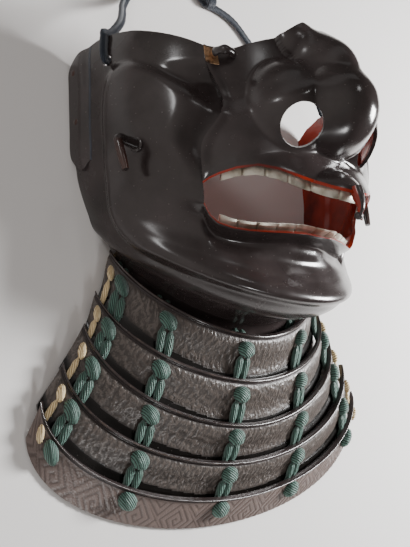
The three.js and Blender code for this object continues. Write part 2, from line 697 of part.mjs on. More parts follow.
// Tie cord: one loop from a slit in the right cheek over its top edge, round on the table, to the left.
const tie = { angle: 73, holeRing: 11.55, radius: 1.6, holeRadius: 2.6, knotRadius: 4.2 };
const tieGrid = { sides: 8, steps: 66 };
const tieKnot = { row: 10, shift: 3, height: 4.5 };
const tieStart = { behind: 4, inside: 1, outside: 1.2, clearance: 0.4 };
const tieRise = { leave: 0.04, low: 0.4, high: 0.95, overTop: 0.15, pastTop: 0.55 };
const tieLaid = [
  { x: -70, y: 184, z: 22 },
  { x: -63, y: 196, z: 15 },
  { x: -56, y: 207, z: 6 },
  { x: -50, y: 217, z: 2.2 },
  { x: -42, y: 236, z: 2.2 },
  { x: -38, y: 262, z: 2.2 },
  { x: -28, y: 284, z: 2.2 },
  { x: -10, y: 286, z: 2.2 },
  { x: -4, y: 268, z: 2.2 },
  { x: -6, y: 248, z: 2.2 },
  { x: 4, y: 234, z: 2.4 },
  { x: 16, y: 233, z: 2.4 },
  { x: 28, y: 230, z: 2.2 },
  { x: 44, y: 217, z: 2.6 },
  { x: 60, y: 200, z: 9 },
  { x: 74, y: 184, z: 22 },
];

function tieEnd(side) {
  const at = (ring, lift) => settle(cheekPoint(side * tie.angle, ring, lift));
  const standing = tie.radius + tieStart.clearance;
  const topRing = topRingAt(tie.angle);
  return [
    at(tie.holeRing, -plateThickness - tieStart.behind),
    at(tie.holeRing, -tieStart.inside),
    at(tie.holeRing + tieRise.leave, tieStart.outside),
    at(tie.holeRing + tieRise.low, standing),
    at(tie.holeRing + tieRise.high, standing),
    at(topRing + tieRise.overTop, standing),
    at(topRing + tieRise.pastTop, -tieStart.inside),
  ];
}

function tieSolid() {
  const laid = tieLaid.map((row) => settle(vector(row.x, row.y, row.z)));
  const points = [...tieEnd(-1), ...laid, ...tieEnd(1).reverse()];
  const section = new THREE.Shape();
  section.absarc(0, 0, tie.radius, 0, 2 * Math.PI, false);
  const cord = new THREE.ExtrudeGeometry(section, {
    steps: tieGrid.steps,
    curveSegments: tieGrid.sides / 2,
    extrudePath: new THREE.CatmullRomCurve3(points, false, "centripetal"),
  });
  const beside = tieLaid[tieKnot.row];
  const centre = settle(vector(beside.x + tieKnot.shift, beside.y, tieKnot.height));
  const knot = ballSolid(centre, tie.knotRadius, tieGrid.sides);
  return toGeometry(toManifold(cord).add(toManifold(knot)));
}

let faceBody = toManifold(faceShell(0, -plateThickness));
for (const { angle, row } of slots) {
  faceBody = faceBody.subtract(toManifold(slotSolid(flangeSpot(angle, flange.ring, 0, 0), row)));
}
for (const side of [-1, 1]) {
  const centre = settle(cheekPoint(side * tie.angle, tie.holeRing, 0));
  const axis = settle(cheekPoint(side * tie.angle, tie.holeRing, 1)).sub(centre).normalize();
  const bore = boreSolid(centre, axis, tie.holeRadius, boreLength, tieGrid.sides);
  faceBody = faceBody.subtract(toManifold(bore));
}

const group = new THREE.Group();

function addPiece(name, geometry, material) {
  const mesh = new THREE.Mesh(geometry, material);
  mesh.name = name;
  group.add(mesh);
}

const blackLacquer = new THREE.MeshStandardMaterial({ color: 0x17120f, roughness: 0.18, metalness: 0.1 });
const silveredTeeth = new THREE.MeshStandardMaterial({ color: 0xb9b2a4, roughness: 0.35, metalness: 0.8 });
const agedBrass = new THREE.MeshStandardMaterial({ color: 0x5b4636, roughness: 0.4, metalness: 0.6 });
const tealSilk = new THREE.MeshStandardMaterial({ color: 0x2f4a47, roughness: 0.8, metalness: 0 });
const tanSilk = new THREE.MeshStandardMaterial({ color: 0xb59a63, roughness: 0.85, metalness: 0 });
const navySilk = new THREE.MeshStandardMaterial({ color: 0x2c3f58, roughness: 0.8, metalness: 0 });
const grainedLacquer = new THREE.MeshStandardMaterial({ color: 0x3c352f, roughness: 0.45, metalness: 0.05 });

addPiece("face_plate", toGeometry(faceBody), blackLacquer);
addPiece("nose_plate", nosePlate, blackLacquer);
addPiece("upper_teeth", teethSolid("upper"), silveredTeeth);
addPiece("lower_teeth", teethSolid("lower"), silveredTeeth);
addPiece("ear_plate_right", earSolid(-1), blackLacquer);
addPiece("ear_plate_left", earSolid(1), blackLacquer);
addPiece("cord_peg_right", pegSolid(-1), blackLacquer);
addPiece("cord_peg_left", pegSolid(1), blackLacquer);
addPiece("nose_hook_right", hookSolid(-1), agedBrass);
addPiece("nose_hook_left", hookSolid(1), agedBrass);

for (let k = 0; k < lameCount; k++) {
  addPiece(`lame_${k + 1}`, lameWithSlots(k), grainedLacquer);
}
lacing.angles.forEach((angle, n) => {
  addPiece(`lace_${n + 1}`, laceSolid(angle, lacing, laceKnot, laceStrand), tealSilk);
});
addPiece("edge_lace_right", laceSolid(edgeLacing.angles[0], edgeLacing, edgeKnot, edgeStrand), tanSilk);
addPiece("edge_lace_left", laceSolid(edgeLacing.angles[1], edgeLacing, edgeKnot, edgeStrand), tanSilk);
addPiece("tie_cord", tieSolid(), navySilk);

export default group;
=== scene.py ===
import math

import bpy
import numpy as np
from mathutils import Matrix, Vector


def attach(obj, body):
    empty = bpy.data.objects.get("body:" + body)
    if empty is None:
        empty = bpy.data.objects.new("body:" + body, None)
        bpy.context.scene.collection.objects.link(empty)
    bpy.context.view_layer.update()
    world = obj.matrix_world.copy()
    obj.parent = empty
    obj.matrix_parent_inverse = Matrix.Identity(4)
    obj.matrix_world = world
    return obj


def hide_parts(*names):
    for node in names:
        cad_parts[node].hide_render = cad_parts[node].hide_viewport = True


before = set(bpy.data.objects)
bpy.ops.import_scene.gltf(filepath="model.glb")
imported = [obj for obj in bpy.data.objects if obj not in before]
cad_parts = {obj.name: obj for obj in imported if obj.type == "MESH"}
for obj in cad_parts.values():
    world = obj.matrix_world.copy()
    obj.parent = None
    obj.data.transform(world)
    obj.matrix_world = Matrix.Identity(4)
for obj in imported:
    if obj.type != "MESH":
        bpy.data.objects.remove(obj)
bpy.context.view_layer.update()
mm = 0.001
baseMiddle = np.array([-2.5, 61.13, 0.0])  # middle of the base, mm from the middle of the face at the throat
bothSides = ((-1, "Right"), (1, "Left"))  # the wearer's right is at -x

# Camera at the photograph's angle, from the wearer's right and above
photoCamera = {
    "place": (-0.2445, -0.06113, 0.267), "lens": 46.07, "sensor": 36.0, "clipStart": 0.01,
    "right": (0.7474, -0.0574, 0.6618), "up": (-0.0907, 0.9781, 0.1873), "back": (-0.6581, -0.2, 0.7259),
}


def addObject(name, data):
    holder = bpy.data.objects.new(name, data)
    bpy.context.scene.collection.objects.link(holder)
    return holder


def placeCamera(fit):
    camera = bpy.data.cameras.new("photoCamera")
    camera.lens = fit["lens"]
    camera.sensor_width = fit["sensor"]
    camera.clip_start = fit["clipStart"]
    holder = addObject("photoCamera", camera)
    turn = Matrix((fit["right"], fit["up"], fit["back"])).transposed().to_4x4()
    holder.matrix_world = Matrix.Translation(fit["place"]) @ turn
    bpy.context.scene.camera = holder


placeCamera(photoCamera)
print("camera placed")


# Small tools for shapes
def mix(a, b, t):
    return a + (b - a) * t


def smoothstep(low, high, value):
    t = np.clip((value - low) / (high - low), 0, 1)
    return t * t * (3 - 2 * t)


def smoothMax(a, b, reach):
    h = np.maximum(reach - np.abs(a - b), 0) / reach
    return np.maximum(a, b) + h * h * reach / 4


def bump(distance, width):
    return np.exp(-((distance / width) ** 2))


def unit(v):
    return v / np.maximum(np.linalg.norm(v, axis=-1, keepdims=True), 1e-9)


def runLength(points):
    return np.concatenate([[0], np.cumsum(np.linalg.norm(np.diff(points, axis=0), axis=1))])


# Values spread evenly over a number of places
def spread(values, count):
    last = len(values) - 1
    return np.interp(np.linspace(0, last, count), range(last + 1), values)


# Reach of a rounded outline at an angle, with its sine and cosine
def outlineReach(angle, halfWidth, depth, power):
    s, c = np.sin(np.radians(angle)), np.cos(np.radians(angle))
    return (np.abs(s / halfWidth) ** power + np.abs(c / depth) ** power) ** (-1 / power), s, c


# Values at whole numbers, with a smooth curve between them
def alongValues(values, position):
    values = np.asarray(values, float)
    last = len(values) - 1
    i = np.clip(np.floor(position).astype(int), 0, last - 1)
    t = position - i
    p0, p1 = values[np.maximum(i - 1, 0)], values[i]
    p2, p3 = values[i + 1], values[np.minimum(i + 2, last)]
    square = (2 * p0 - 5 * p1 + 4 * p2 - p3) * t * t
    cube = (3 * p1 - p0 - 3 * p2 + p3) * t * t * t
    return 0.5 * (2 * p1 + (p2 - p0) * t + square + cube)


def toFrame(points):
    return (np.asarray(points, float) - baseMiddle) * mm


def makePiece(name, points, faces, materials, nodes=(), paint=None, uv=None, marks=None, sharp=55):
    used, compact = np.unique(np.concatenate([np.ravel(f) for f in faces]), return_inverse=True)
    corners, start = [], 0
    for count, sides in [np.shape(f) for f in faces]:
        corners += compact[start:start + count * sides].reshape(count, sides).tolist()
        start += count * sides
    mesh = bpy.data.meshes.new(name)
    mesh.from_pydata(toFrame(points)[used].tolist(), [], corners)
    for material in materials:
        mesh.materials.append(material)
    if paint is not None:
        mesh.polygons.foreach_set("material_index", np.asarray(paint, np.int32))
    if uv is not None:
        layer = mesh.uv_layers.new(name="laidFlat")
        loops = np.zeros(len(mesh.loops), np.int32)
        mesh.loops.foreach_get("vertex_index", loops)
        layer.data.foreach_set("uv", np.asarray(uv, np.float32)[used][loops].ravel())
    for key, values in (marks or {}).items():
        layer = mesh.attributes.new(key, "FLOAT", "POINT")
        layer.data.foreach_set("value", np.asarray(values, np.float32)[used])
    mesh.update()
    mesh.shade_smooth()
    mesh.set_sharp_from_angle(angle=math.radians(sharp))
    piece = addObject(name, mesh)
    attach(piece, "root")
    if nodes:
        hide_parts(*nodes)
    return piece


# Closed plate from two grids of points; cells not kept leave an opening
# Sides: 0 outside, 1 inside, then the edge walls 2 low, 3 high, 4 first column, 5 last column
def plateFaces(columns, rows, keep=None):
    stride = rows + 1
    kept = np.ones((columns, rows), bool) if keep is None else keep
    i, j = np.nonzero(kept)
    a = i * stride + j
    b, c, d = a + stride, a + stride + 1, a + 1
    below = (columns + 1) * stride
    padded = np.pad(kept, 1)
    faces = [np.stack([a, b, c, d], 1), np.stack([a, d, c, b], 1) + below]
    sides = [np.zeros(len(a), int), np.ones(len(a), int)]
    cells = [np.stack([i, j], 1)] * 2
    ways = [(0, -1, a, b), (0, 1, c, d), (-1, 0, d, a), (1, 0, b, c)]
    for side, (di, dj, first, second) in enumerate(ways, 2):
        bare = ~padded[i + 1 + di, j + 1 + dj]
        faces.append(np.stack([second, first, first + below, second + below], 1)[bare])
        sides.append(np.full(int(bare.sum()), side))
        cells.append(np.stack([i, j], 1)[bare])
    return [np.concatenate(faces)], np.concatenate(sides), np.concatenate(cells)


def bothSkins(outer, inner):
    return np.concatenate([outer.reshape(-1, 3), inner.reshape(-1, 3)])


def roundRims(piece, width=0.5, segments=2, angle=60):
    rim = piece.modifiers.new("roundedRim", "BEVEL")
    rim.width = width * mm
    rim.segments = segments
    rim.limit_method = "ANGLE"
    rim.angle_limit = math.radians(angle)


# Tube through points with its own half widths and half depths; ends closed
def tubeShape(path, sideways, halfWide, halfDeep, sides, power=2.0):
    path = np.asarray(path, float)
    heading = unit(np.gradient(path, axis=0))
    sideways = np.broadcast_to(sideways, path.shape)
    across = unit(sideways - heading * np.sum(sideways * heading, 1, keepdims=True))
    up = np.cross(heading, across)
    turn = 2 * np.pi * np.arange(sides) / sides
    c = np.sign(np.cos(turn)) * np.abs(np.cos(turn)) ** (2 / power)
    s = np.sign(np.sin(turn)) * np.abs(np.sin(turn)) ** (2 / power)
    wide = np.broadcast_to(halfWide, len(path))[:, None]
    deep = np.broadcast_to(halfDeep, len(path))[:, None]
    rings = path[:, None] + across[:, None] * (wide * c)[..., None] + up[:, None] * (deep * s)[..., None]
    points = np.concatenate([rings.reshape(-1, 3), path[:1], path[-1:]])
    n = len(path)
    k, i = np.meshgrid(np.arange(n - 1), np.arange(sides), indexing="ij")
    a, b = k * sides + i, k * sides + (i + 1) % sides
    walls = np.stack([a, b, b + sides, a + sides], -1).reshape(-1, 4)
    i = np.arange(sides)
    first = np.stack([np.full(sides, n * sides), (i + 1) % sides, i], 1)
    final = (n - 1) * sides
    last = np.stack([np.full(sides, n * sides + 1), final + i, final + (i + 1) % sides], 1)
    return points, walls, np.concatenate([first, last])


# Flat coordinates of a tube in mm: round it from its side, and along it
def tubeFlat(shape, sides, halfWide):
    run = runLength(shape[0][:-2].reshape(-1, sides, 3).mean(1))
    around = np.arange(sides) / sides * 2 * np.pi * halfWide
    flat = np.stack(np.broadcast_arrays(around[None], run[:, None]), -1).reshape(-1, 2)
    return np.concatenate([flat, [[0, run[0]], [0, run[-1]]]])


def joinShapes(shapes):
    points, quads, triangles, start = [], [], [], 0
    for p, q, t in shapes:
        points.append(p)
        quads.append(q + start)
        triangles.append(t + start)
        start += len(p)
    return np.concatenate(points), [np.concatenate(quads), np.concatenate(triangles)]


# Paint for joined shapes: the first cells as flagged, the rest in the first material
def paintFirst(faces, flags):
    paint = np.zeros(sum(len(f) for f in faces), np.int32)
    paint[:len(flags)] = flags
    return paint


# Smooth route through given points, evenly paced by the root of each step
def smoothRoute(points, perStep):
    p = np.asarray(points, float)
    p = np.concatenate([[2 * p[0] - p[1]], p, [2 * p[-1] - p[-2]]])
    route = []
    for k in range(1, len(p) - 2):
        q = p[k - 1:k + 3]
        t = np.concatenate([[0], np.cumsum(np.sqrt(np.linalg.norm(np.diff(q, axis=0), axis=1)))])
        x = np.linspace(t[1], t[2], perStep, endpoint=False)[:, None]
        a1 = ((t[1] - x) * q[0] + (x - t[0]) * q[1]) / (t[1] - t[0])
        a2 = ((t[2] - x) * q[1] + (x - t[1]) * q[2]) / (t[2] - t[1])
        a3 = ((t[3] - x) * q[2] + (x - t[2]) * q[3]) / (t[3] - t[2])
        b1 = ((t[2] - x) * a1 + (x - t[0]) * a2) / (t[2] - t[0])
        b2 = ((t[3] - x) * a2 + (x - t[1]) * a3) / (t[3] - t[1])
        route.append(((t[2] - x) * b1 + (x - t[1]) * b2) / (t[2] - t[1]))
    return np.concatenate(route + [p[-2:-1]])


# Materials
def hexColour(text):
    parts = [int(text[i:i + 2], 16) / 255 for i in (1, 3, 5)]
    return tuple(p / 12.92 if p <= 0.04045 else ((p + 0.055) / 1.055) ** 2.4 for p in parts) + (1.0,)


def asColour(shade):
    if isinstance(shade, str):
        return hexColour(shade)
    return shade if isinstance(shade, tuple) else (shade, shade, shade, 1.0)


def perMm(size):
    return 1000.0 / size  # texture scale for a feature of that many millimetres


# Adds a node with its settings and links, and gives back one of its outputs
def addNode(tree, kind, values=None, links=None, stops=(), out=0, **settings):
    node = tree.nodes.new("ShaderNode" + kind)
    for key, value in settings.items():
        setattr(node, key, value)
    for socket, value in (values or {}).items():
        node.inputs[socket].default_value = hexColour(value) if isinstance(value, str) else value
    for socket, source in (links or {}).items():
        tree.links.new(source, node.inputs[socket])
    for n, (place, shade) in enumerate(stops):
        element = node.color_ramp.elements[n] if n < 2 else node.color_ramp.elements.new(place)
        element.position = place
        element.color = asColour(shade)
    return node.outputs[out]


def newMaterial(name, values):
    material = bpy.data.materials.new(name)
    material.use_nodes = True
    for socket, value in values.items():
        material.node_tree.nodes["Principled BSDF"].inputs[socket].default_value = value
    return material, material.node_tree


def linkShader(material, links):
    tree = material.node_tree
    for socket, source in links.items():
        tree.links.new(source, tree.nodes["Principled BSDF"].inputs[socket])
    return material


# Urushi lacquer over hammered iron, polished by hand: brown-black depth, soft clear reflections and a little
# dust; dull along the ear seam, near black below the leather as painted shade under the next lame's rim,
# rubbed to brown on the peg's bar
polishedUrushi = {
    "name": "polishedBlackUrushi", "ior": 1.55,
    "shades": [(0.35, "#272120"), (0.7, "#3c3434")], "dulls": [(0.35, 0.14), (0.75, 0.32)],
    "haze": {"Scale": perMm(30.0), "Detail": 6.0, "Roughness": 0.62},
    "dust": "#6f665f", "grains": {"Scale": perMm(3.0)}, "specks": [(0.05, 0.25), (0.12, 0.0)],
    "rubbed": "#54473f", "losses": [(0.42, 0.0), (0.65, 0.7)],
    "chips": {"Scale": perMm(5.0), "Detail": 6.0, "Roughness": 0.7},
    "hammer": {"Scale": perMm(15.0), "Detail": 2.0}, "dents": {"Strength": 0.5, "Distance": 0.05 * mm},
}
dulledSeam = {
    **polishedUrushi, "name": "dulledUrushiSeam", "shades": [(0.35, "#262a32"), (0.7, "#3b414d")],
    "dulls": [(0.35, 0.45), (0.75, 0.6)],
}
# painted shade: near-black lacquer for the band below each lame's leather, standing for the shadow under the
# next rim
paintedShadeLacquer = {**polishedUrushi, "name": "paintedShadeBandUrushi", "shades": [(0.35, "#0d0b0a"), (0.7, "#151210")]}
rubbedBar = {**polishedUrushi, "name": "rubbedBrownUrushi", "shades": [(0.35, "#2b1915"), (0.7, "#4d3027")]}


def makePolishedUrushi(look):
    material, tree = newMaterial(look["name"], {"IOR": look["ior"]})
    at = {"Vector": addNode(tree, "TexCoord", out="Object")}
    haze = {"Fac": addNode(tree, "TexNoise", look["haze"], at)}
    colour = addNode(tree, "ValToRGB", links=haze, stops=look["shades"])
    rough = addNode(tree, "ValToRGB", links=haze, stops=look["dulls"])
    # dust grains lie singly, drawn coarse enough to show
    cells = addNode(tree, "TexVoronoi", look["grains"], at)
    grains = addNode(tree, "ValToRGB", links={"Fac": cells}, stops=look["specks"])
    dusted = addNode(tree, "Mix", {7: look["dust"]}, {0: grains, 6: colour}, out=2, data_type="RGBA")
    # rims lose their lacquer in small chips
    rim = addNode(tree, "Attribute", out="Fac", attribute_name="rim")
    chips = addNode(tree, "TexNoise", look["chips"], at)
    bare = addNode(tree, "Math", links={0: rim, 1: chips}, operation="MULTIPLY")
    share = addNode(tree, "ValToRGB", links={"Fac": bare}, stops=look["losses"])
    chipped = addNode(tree, "Mix", {7: look["rubbed"]}, {0: share, 6: dusted}, out=2, data_type="RGBA")
    dulled = addNode(tree, "Math", links={0: rough, 1: grains}, operation="ADD", use_clamp=True)
    hammer = addNode(tree, "TexNoise", look["hammer"], at)
    relief = addNode(tree, "Bump", look["dents"], {"Height": hammer})
    return linkShader(material, {"Base Color": chipped, "Roughness": dulled, "Normal": relief})


# Vermilion urushi brushed on the inside: deep red with a slow gloss and darker rubbed patches
brushedVermilion = {
    "name": "brushedVermilionUrushi", "gloss": {"IOR": 1.52, "Roughness": 0.22},
    "shades": [(0.35, "#5a150b"), (0.6, "#96270f")], "patch": {"Scale": perMm(22.0), "Detail": 5.0},
    "brush": {"Scale": perMm(1.5), "Detail": 3.0}, "stretch": {"Scale": (0.15, 1.0, 1.0)},
    "relief": {"Strength": 0.5, "Distance": 0.04 * mm},
}
# Silver leaf over lacquered teeth, rubbed: pale warm metal, dull, grey in the hollows
rubbedSilver = {
    "name": "rubbedSilverLeaf", "gloss": {"Metallic": 0.7, "Roughness": 0.32},
    "shades": [(0.35, "#9d9684"), (0.6, "#d6d4c6")], "patch": {"Scale": perMm(5.0), "Detail": 6.0},
    "relief": {"Strength": 0.4, "Distance": 0.06 * mm},
}
# Old copper fitting, forged and half stripped of its lacquer: tan metal through brown
strippedCopper = {
    "name": "strippedForgedCopper", "gloss": {"Metallic": 0.7, "Roughness": 0.36},
    "shades": [(0.38, "#3b2a20"), (0.55, "#a3805f")],
    "patch": {"Scale": perMm(4.0), "Detail": 6.0, "Roughness": 0.65},
    "relief": {"Strength": 0.5, "Distance": 0.1 * mm},
}


def makePatched(look):
    material, tree = newMaterial(look["name"], look["gloss"])
    at = {"Vector": addNode(tree, "TexCoord", out="Object")}
    height = patch = addNode(tree, "TexNoise", look["patch"], at)
    colour = addNode(tree, "ValToRGB", links={"Fac": patch}, stops=look["shades"])
    if "brush" in look:  # strokes run across the face
        stroke = addNode(tree, "Mapping", look["stretch"], at)
        height = addNode(tree, "TexNoise", look["brush"], {"Vector": stroke})
    relief = addNode(tree, "Bump", look["relief"], {"Height": height})
    return linkShader(material, {"Base Color": colour, "Normal": relief})


# Crinkled leather under thin lacquer: grey-brown crepe with dull valleys and glossier crests that catch
# small glints;
# the colour follows the crinkle height, darker in the valleys as painted shade and lighter on the crests as
# painted light; its pebbles are drawn coarse enough to show
crinkledLeather = {
    "ior": 1.5, "shades": [(0.25, "#2a2421"), (0.95, "#5e5651")], "dulls": [(0.3, 0.55), (0.9, 0.3)],
    "pebbles": {"Scale": perMm(0.9), "Detail": 3.0}, "pebbleShare": 0.6,
    "relief": {"Strength": 0.8, "Distance": 0.25 * mm},
    "stain": "#4a423e", "stains": {"Scale": perMm(14.0), "Detail": 4.0},
    "stained": [(0.45, 0.0), (0.7, 0.5)],
}


def makeCrinkledLeather(look):
    material, tree = newMaterial("crinkledLacqueredLeather", {"IOR": look["ior"]})
    flat = {"Vector": addNode(tree, "TexCoord", out="UV")}
    height = addNode(tree, "Attribute", out="Fac", attribute_name="crinkle")
    pebbles = addNode(tree, "TexNoise", look["pebbles"], flat)
    stains = addNode(tree, "TexNoise", look["stains"], flat)
    both = {0: pebbles, 2: height}
    # colour from crinkle height and pebbles: darker valleys are painted shade, lighter crests painted light
    rubbed = addNode(tree, "Math", {1: look["pebbleShare"]}, both, operation="MULTIPLY_ADD")
    colour = addNode(tree, "ValToRGB", links={"Fac": rubbed}, stops=look["shades"])
    share = addNode(tree, "ValToRGB", links={"Fac": stains}, stops=look["stained"])
    stained = addNode(tree, "Mix", {7: look["stain"]}, {0: share, 6: colour}, out=2, data_type="RGBA")
    rough = addNode(tree, "ValToRGB", links={"Fac": rubbed}, stops=look["dulls"])
    relief = addNode(tree, "Bump", look["relief"], {"Height": pebbles})
    return linkShader(material, {"Base Color": stained, "Roughness": rough, "Normal": relief})


# Stamped leather of the last lame: reddish brown-grey, a key fret pressed in, worn flat and chipped
stampedLeather = {
    "gloss": {"IOR": 1.5, "Roughness": 0.34}, "shades": [(0.1, "#6e615c"), (0.9, "#574b47")],
    "chipped": "#85746a", "chips": {"Scale": perMm(8.0), "Detail": 7.0, "Roughness": 0.7},
    "losses": [(0.58, 0.0), (0.68, 0.5)], "grain": {"Scale": perMm(0.8)},
    "relief": {"Strength": 0.5, "Distance": 0.2 * mm},
}


def makeStampedLeather(look):
    material, tree = newMaterial("stampedFretLeather", look["gloss"])
    flat = {"Vector": addNode(tree, "TexCoord", out="UV")}
    fret = addNode(tree, "Attribute", out="Fac", attribute_name="fret")
    colour = addNode(tree, "ValToRGB", links={"Fac": fret}, stops=look["shades"])
    chips = addNode(tree, "TexNoise", look["chips"], flat)
    share = addNode(tree, "ValToRGB", links={"Fac": chips}, stops=look["losses"])
    worn = addNode(tree, "Mix", {7: look["chipped"]}, {0: share, 6: colour}, out=2, data_type="RGBA")
    grain = addNode(tree, "TexVoronoi", look["grain"], flat)
    relief = addNode(tree, "Bump", look["relief"], {"Height": grain})
    return linkShader(material, {"Base Color": worn, "Normal": relief})


# Silk braid: spun floss with a soft sheen; threads lie side by side in the lacing and in a plait on the
# cord, drawn about twice as coarse as real ones, to show; the colour is darker between threads as painted
# shade and lighter on their crowns as painted light
silkFloss = {
    "gloss": {"Roughness": 0.6, "IOR": 1.5, "Sheen Weight": 0.25, "Sheen Roughness": 0.4},
    "threadMm": 0.95, "slant": 0.35, "plait": False, "relief": {"Strength": 0.9, "Distance": 0.4 * mm},
    "fluff": {"Scale": perMm(1.6), "Detail": 4.0}, "fluffShare": 0.55,
}
tealBraid = {**silkFloss, "name": "tealSilkLacing", "shades": [(0.25, "#10201b"), (1.0, "#567a6e")]}
tanBraid = {**silkFloss, "name": "tanSilkLacing", "shades": [(0.25, "#a8874f"), (1.0, "#ffe9bb")]}
navyBraid = {
    **silkFloss, "name": "navySilkPlait", "shades": [(0.25, "#0a0e14"), (1.0, "#263140")], "threadMm": 1.1,
    "slant": 1.0, "plait": True,
}


def makeSilkBraid(look):
    material, tree = newMaterial(look["name"], look["gloss"])
    place, flat = [addNode(tree, "TexCoord", out=kind) for kind in ("Object", "UV")]
    aside = addNode(tree, "SeparateXYZ", links={"Vector": flat}, out="X")
    along = aside.node.outputs["Y"]
    if look["plait"]:  # threads slant one way on one half of the plait and the other way on the other
        aside = addNode(tree, "Math", links={0: aside}, operation="ABSOLUTE")
    leaning = addNode(tree, "Math", {1: look["slant"]}, {0: along, 2: aside}, operation="MULTIPLY_ADD")
    pace = perMm(look["threadMm"]) * 2 * math.pi
    paced = addNode(tree, "Math", {1: pace}, {0: leaning}, operation="MULTIPLY")
    wave = addNode(tree, "Math", links={0: paced}, operation="SINE")
    crown = addNode(tree, "Math", {1: 0.5, 2: 0.5}, {0: wave}, operation="MULTIPLY_ADD")
    fluff = addNode(tree, "TexNoise", look["fluff"], {"Vector": place})
    both = addNode(tree, "Math", {1: look["fluffShare"]}, {0: fluff, 2: crown}, operation="MULTIPLY_ADD")
    # colour from thread crowns and fluff: painted shade between threads, painted light on their crowns
    colour = addNode(tree, "ValToRGB", links={"Fac": both}, stops=look["shades"])
    relief = addNode(tree, "Bump", look["relief"], {"Height": crown})
    return linkShader(material, {"Base Color": colour, "Normal": relief})


lacquers = (polishedUrushi, dulledSeam, rubbedBar, paintedShadeLacquer)
blackUrushi, seamUrushi, barUrushi, paintedShadeBand = [makePolishedUrushi(look) for look in lacquers]
vermilion, silver, copper = [makePatched(look) for look in (brushedVermilion, rubbedSilver, strippedCopper)]
leather = makeCrinkledLeather(crinkledLeather)
fretLeather = makeStampedLeather(stampedLeather)
teal, tan, navy = [makeSilkBraid(look) for look in (tealBraid, tanBraid, navyBraid)]
print("materials made")


# The face: rings from the throat edge up to the top edge, each from the table round its front point
faceRings = {
    "rearY": [70, 83, 88, 95, 103, 110, 117, 124, 131, 139, 148, 157, 165, 172],
    "halfWidth": [60, 66, 73, 76, 79, 81, 82, 83, 83, 83, 83, 83, 83, 82],
    "frontY": [26, 43, 43, 50, 60, 69, 76, 83, 92, 106, 128, 150, 168, 181],
    "frontZ": [20, 28, 53, 65, 62, 60, 66, 71, 77, 82, 81, 80, 79, 74],
    "power": [1.75, 1.8, 2.0, 2.0, 1.95, 1.9, 1.85, 1.85, 1.85, 2.0, 2.1, 2.1, 2.1, 2.1],
}
lastRing = np.array(13.0)
faceForms = [  # hammered-out forms; those off the centre line are mirrored
    {"name": "nose wing", "middle": (15.5, 134, 70), "radii": (24, 25, 23), "blend": 3},
    {"name": "nose tip", "middle": (0, 133, 83), "radii": (19, 21, 23.8), "blend": 9},
    {"name": "nose ridge", "middle": (0, 147, 72), "radii": (17, 27.5, 31), "blend": 8},
    {"name": "brow point", "middle": (9.5, 168, 76), "radii": (13, 12, 10.5), "blend": 12},
    {"name": "muzzle", "middle": (0, 100, 48), "radii": (47, 25, 36), "blend": 8},
    {"name": "lip point", "middle": (0, 95, 70), "radii": (17, 14, 22), "blend": 10},
]
missedFall = 6  # how steeply a form falls away beside a ray that misses it
topEdge = {
    "angle": [0, 4, 8, 15, 24, 32, 40, 50, 63, 76, 84, 90],
    "ring": [12.25, 12.3, 12.42, 12.0, 11.7, 11.42, 11.45, 11.9, 12.5, 12.95, 12.75, 12.2],
}
noseEdge = [40, 40, 40, 40, 40, 40, 40, 39.7, 40.6, 41, 35.7, 40.6, 41, 41]  # degrees at each ring
lipEdges = {
    "across": [0, 0.16, 0.32, 0.48, 0.62, 0.76, 0.88, 0.95, 1],
    "lower": [6.65, 6.64, 6.48, 6.24, 6.05, 5.94, 5.98, 6.25, 6.75],
    "upper": [8.5, 8.5, 8.57, 8.66, 8.64, 8.42, 8.1, 7.85, 7.6],
}
facePlate = {
    "thickness": 2.0, "bandTop": 11, "bandRear": 75, "bandJaw": 2.55, "raise": 2.5, "fillet": 4.5,
    "rounding": 16, "ringPitch": 9, "degreePitch": 1.4, "bead": 0.5, "beadWidth": 1.6,
    "hollowDepth": 6.5, "hollowLow": 7.4, "hollowHigh": 11.1, "hollowNarrow": 6, "hollowWide": 26,
    "hollowIn": 0.5, "hollowOut": 0.84, "lipFlare": 2.2, "lipWidth": 0.35, "lipFade": (0.9, 1.2),
    "groove": 2.4, "grooveBelow": 0.85, "grooveWidth": 0.32,
    "side": 48, "mouth": 104, "low": 96, "high": 62, "rimWidth": 0.12, "redRows": 1,
}


def topRing(angle):
    return np.interp(np.abs(angle), topEdge["angle"], topEdge["ring"])


def lipRing(across, row):
    return np.interp(np.abs(across), lipEdges["across"], lipEdges[row])


def formReach(form, side, base, ray):
    radii = np.array(form["radii"], float)
    start = (base - np.array(form["middle"]) * (side, 1, 1)) / radii
    step = ray / radii
    a = np.sum(step * step, -1)
    b = np.sum(start * step, -1)
    inside = b * b - a * (np.sum(start * start, -1) - 1)
    root = np.sqrt(np.abs(inside))
    return (-b + np.where(inside >= 0, root, -missedFall * root)) / a


def facePoint(angle, ring, lift=0.0):
    angle, ring, lift = np.broadcast_arrays(np.asarray(angle, float), np.asarray(ring, float), lift)
    rearY, halfWidth, frontY, frontZ, power = [alongValues(v, ring) for v in faceRings.values()]
    depth = np.hypot(rearY - frontY, frontZ)
    reach, s, c = outlineReach(angle, halfWidth, depth, power)
    ray = np.stack([s, (frontY - rearY) / depth * c, frontZ / depth * c], -1)
    base = np.stack([np.zeros_like(rearY), rearY, np.zeros_like(rearY)], -1)
    for form in faceForms:
        for side in (1, -1) if form["middle"][0] else (1,):
            reach = smoothMax(reach, formReach(form, side, base, ray), form["blend"])
    return base + ray * (reach + lift)[..., None]


def borderDistance(angle, ring):
    p = facePlate
    a = np.abs(angle)
    fromTop = (topRing(a) - ring) * p["ringPitch"] - p["bandTop"]
    fromRear = (p["bandRear"] - a) * p["degreePitch"]
    fromJaw = (ring - p["bandJaw"]) * p["ringPitch"]
    return -smoothMax(-fromTop, smoothMax(-fromRear, -fromJaw, p["rounding"]), p["rounding"])


def cheekLift(angle, ring):
    return facePlate["raise"] * smoothstep(0, facePlate["fillet"], borderDistance(angle, ring))


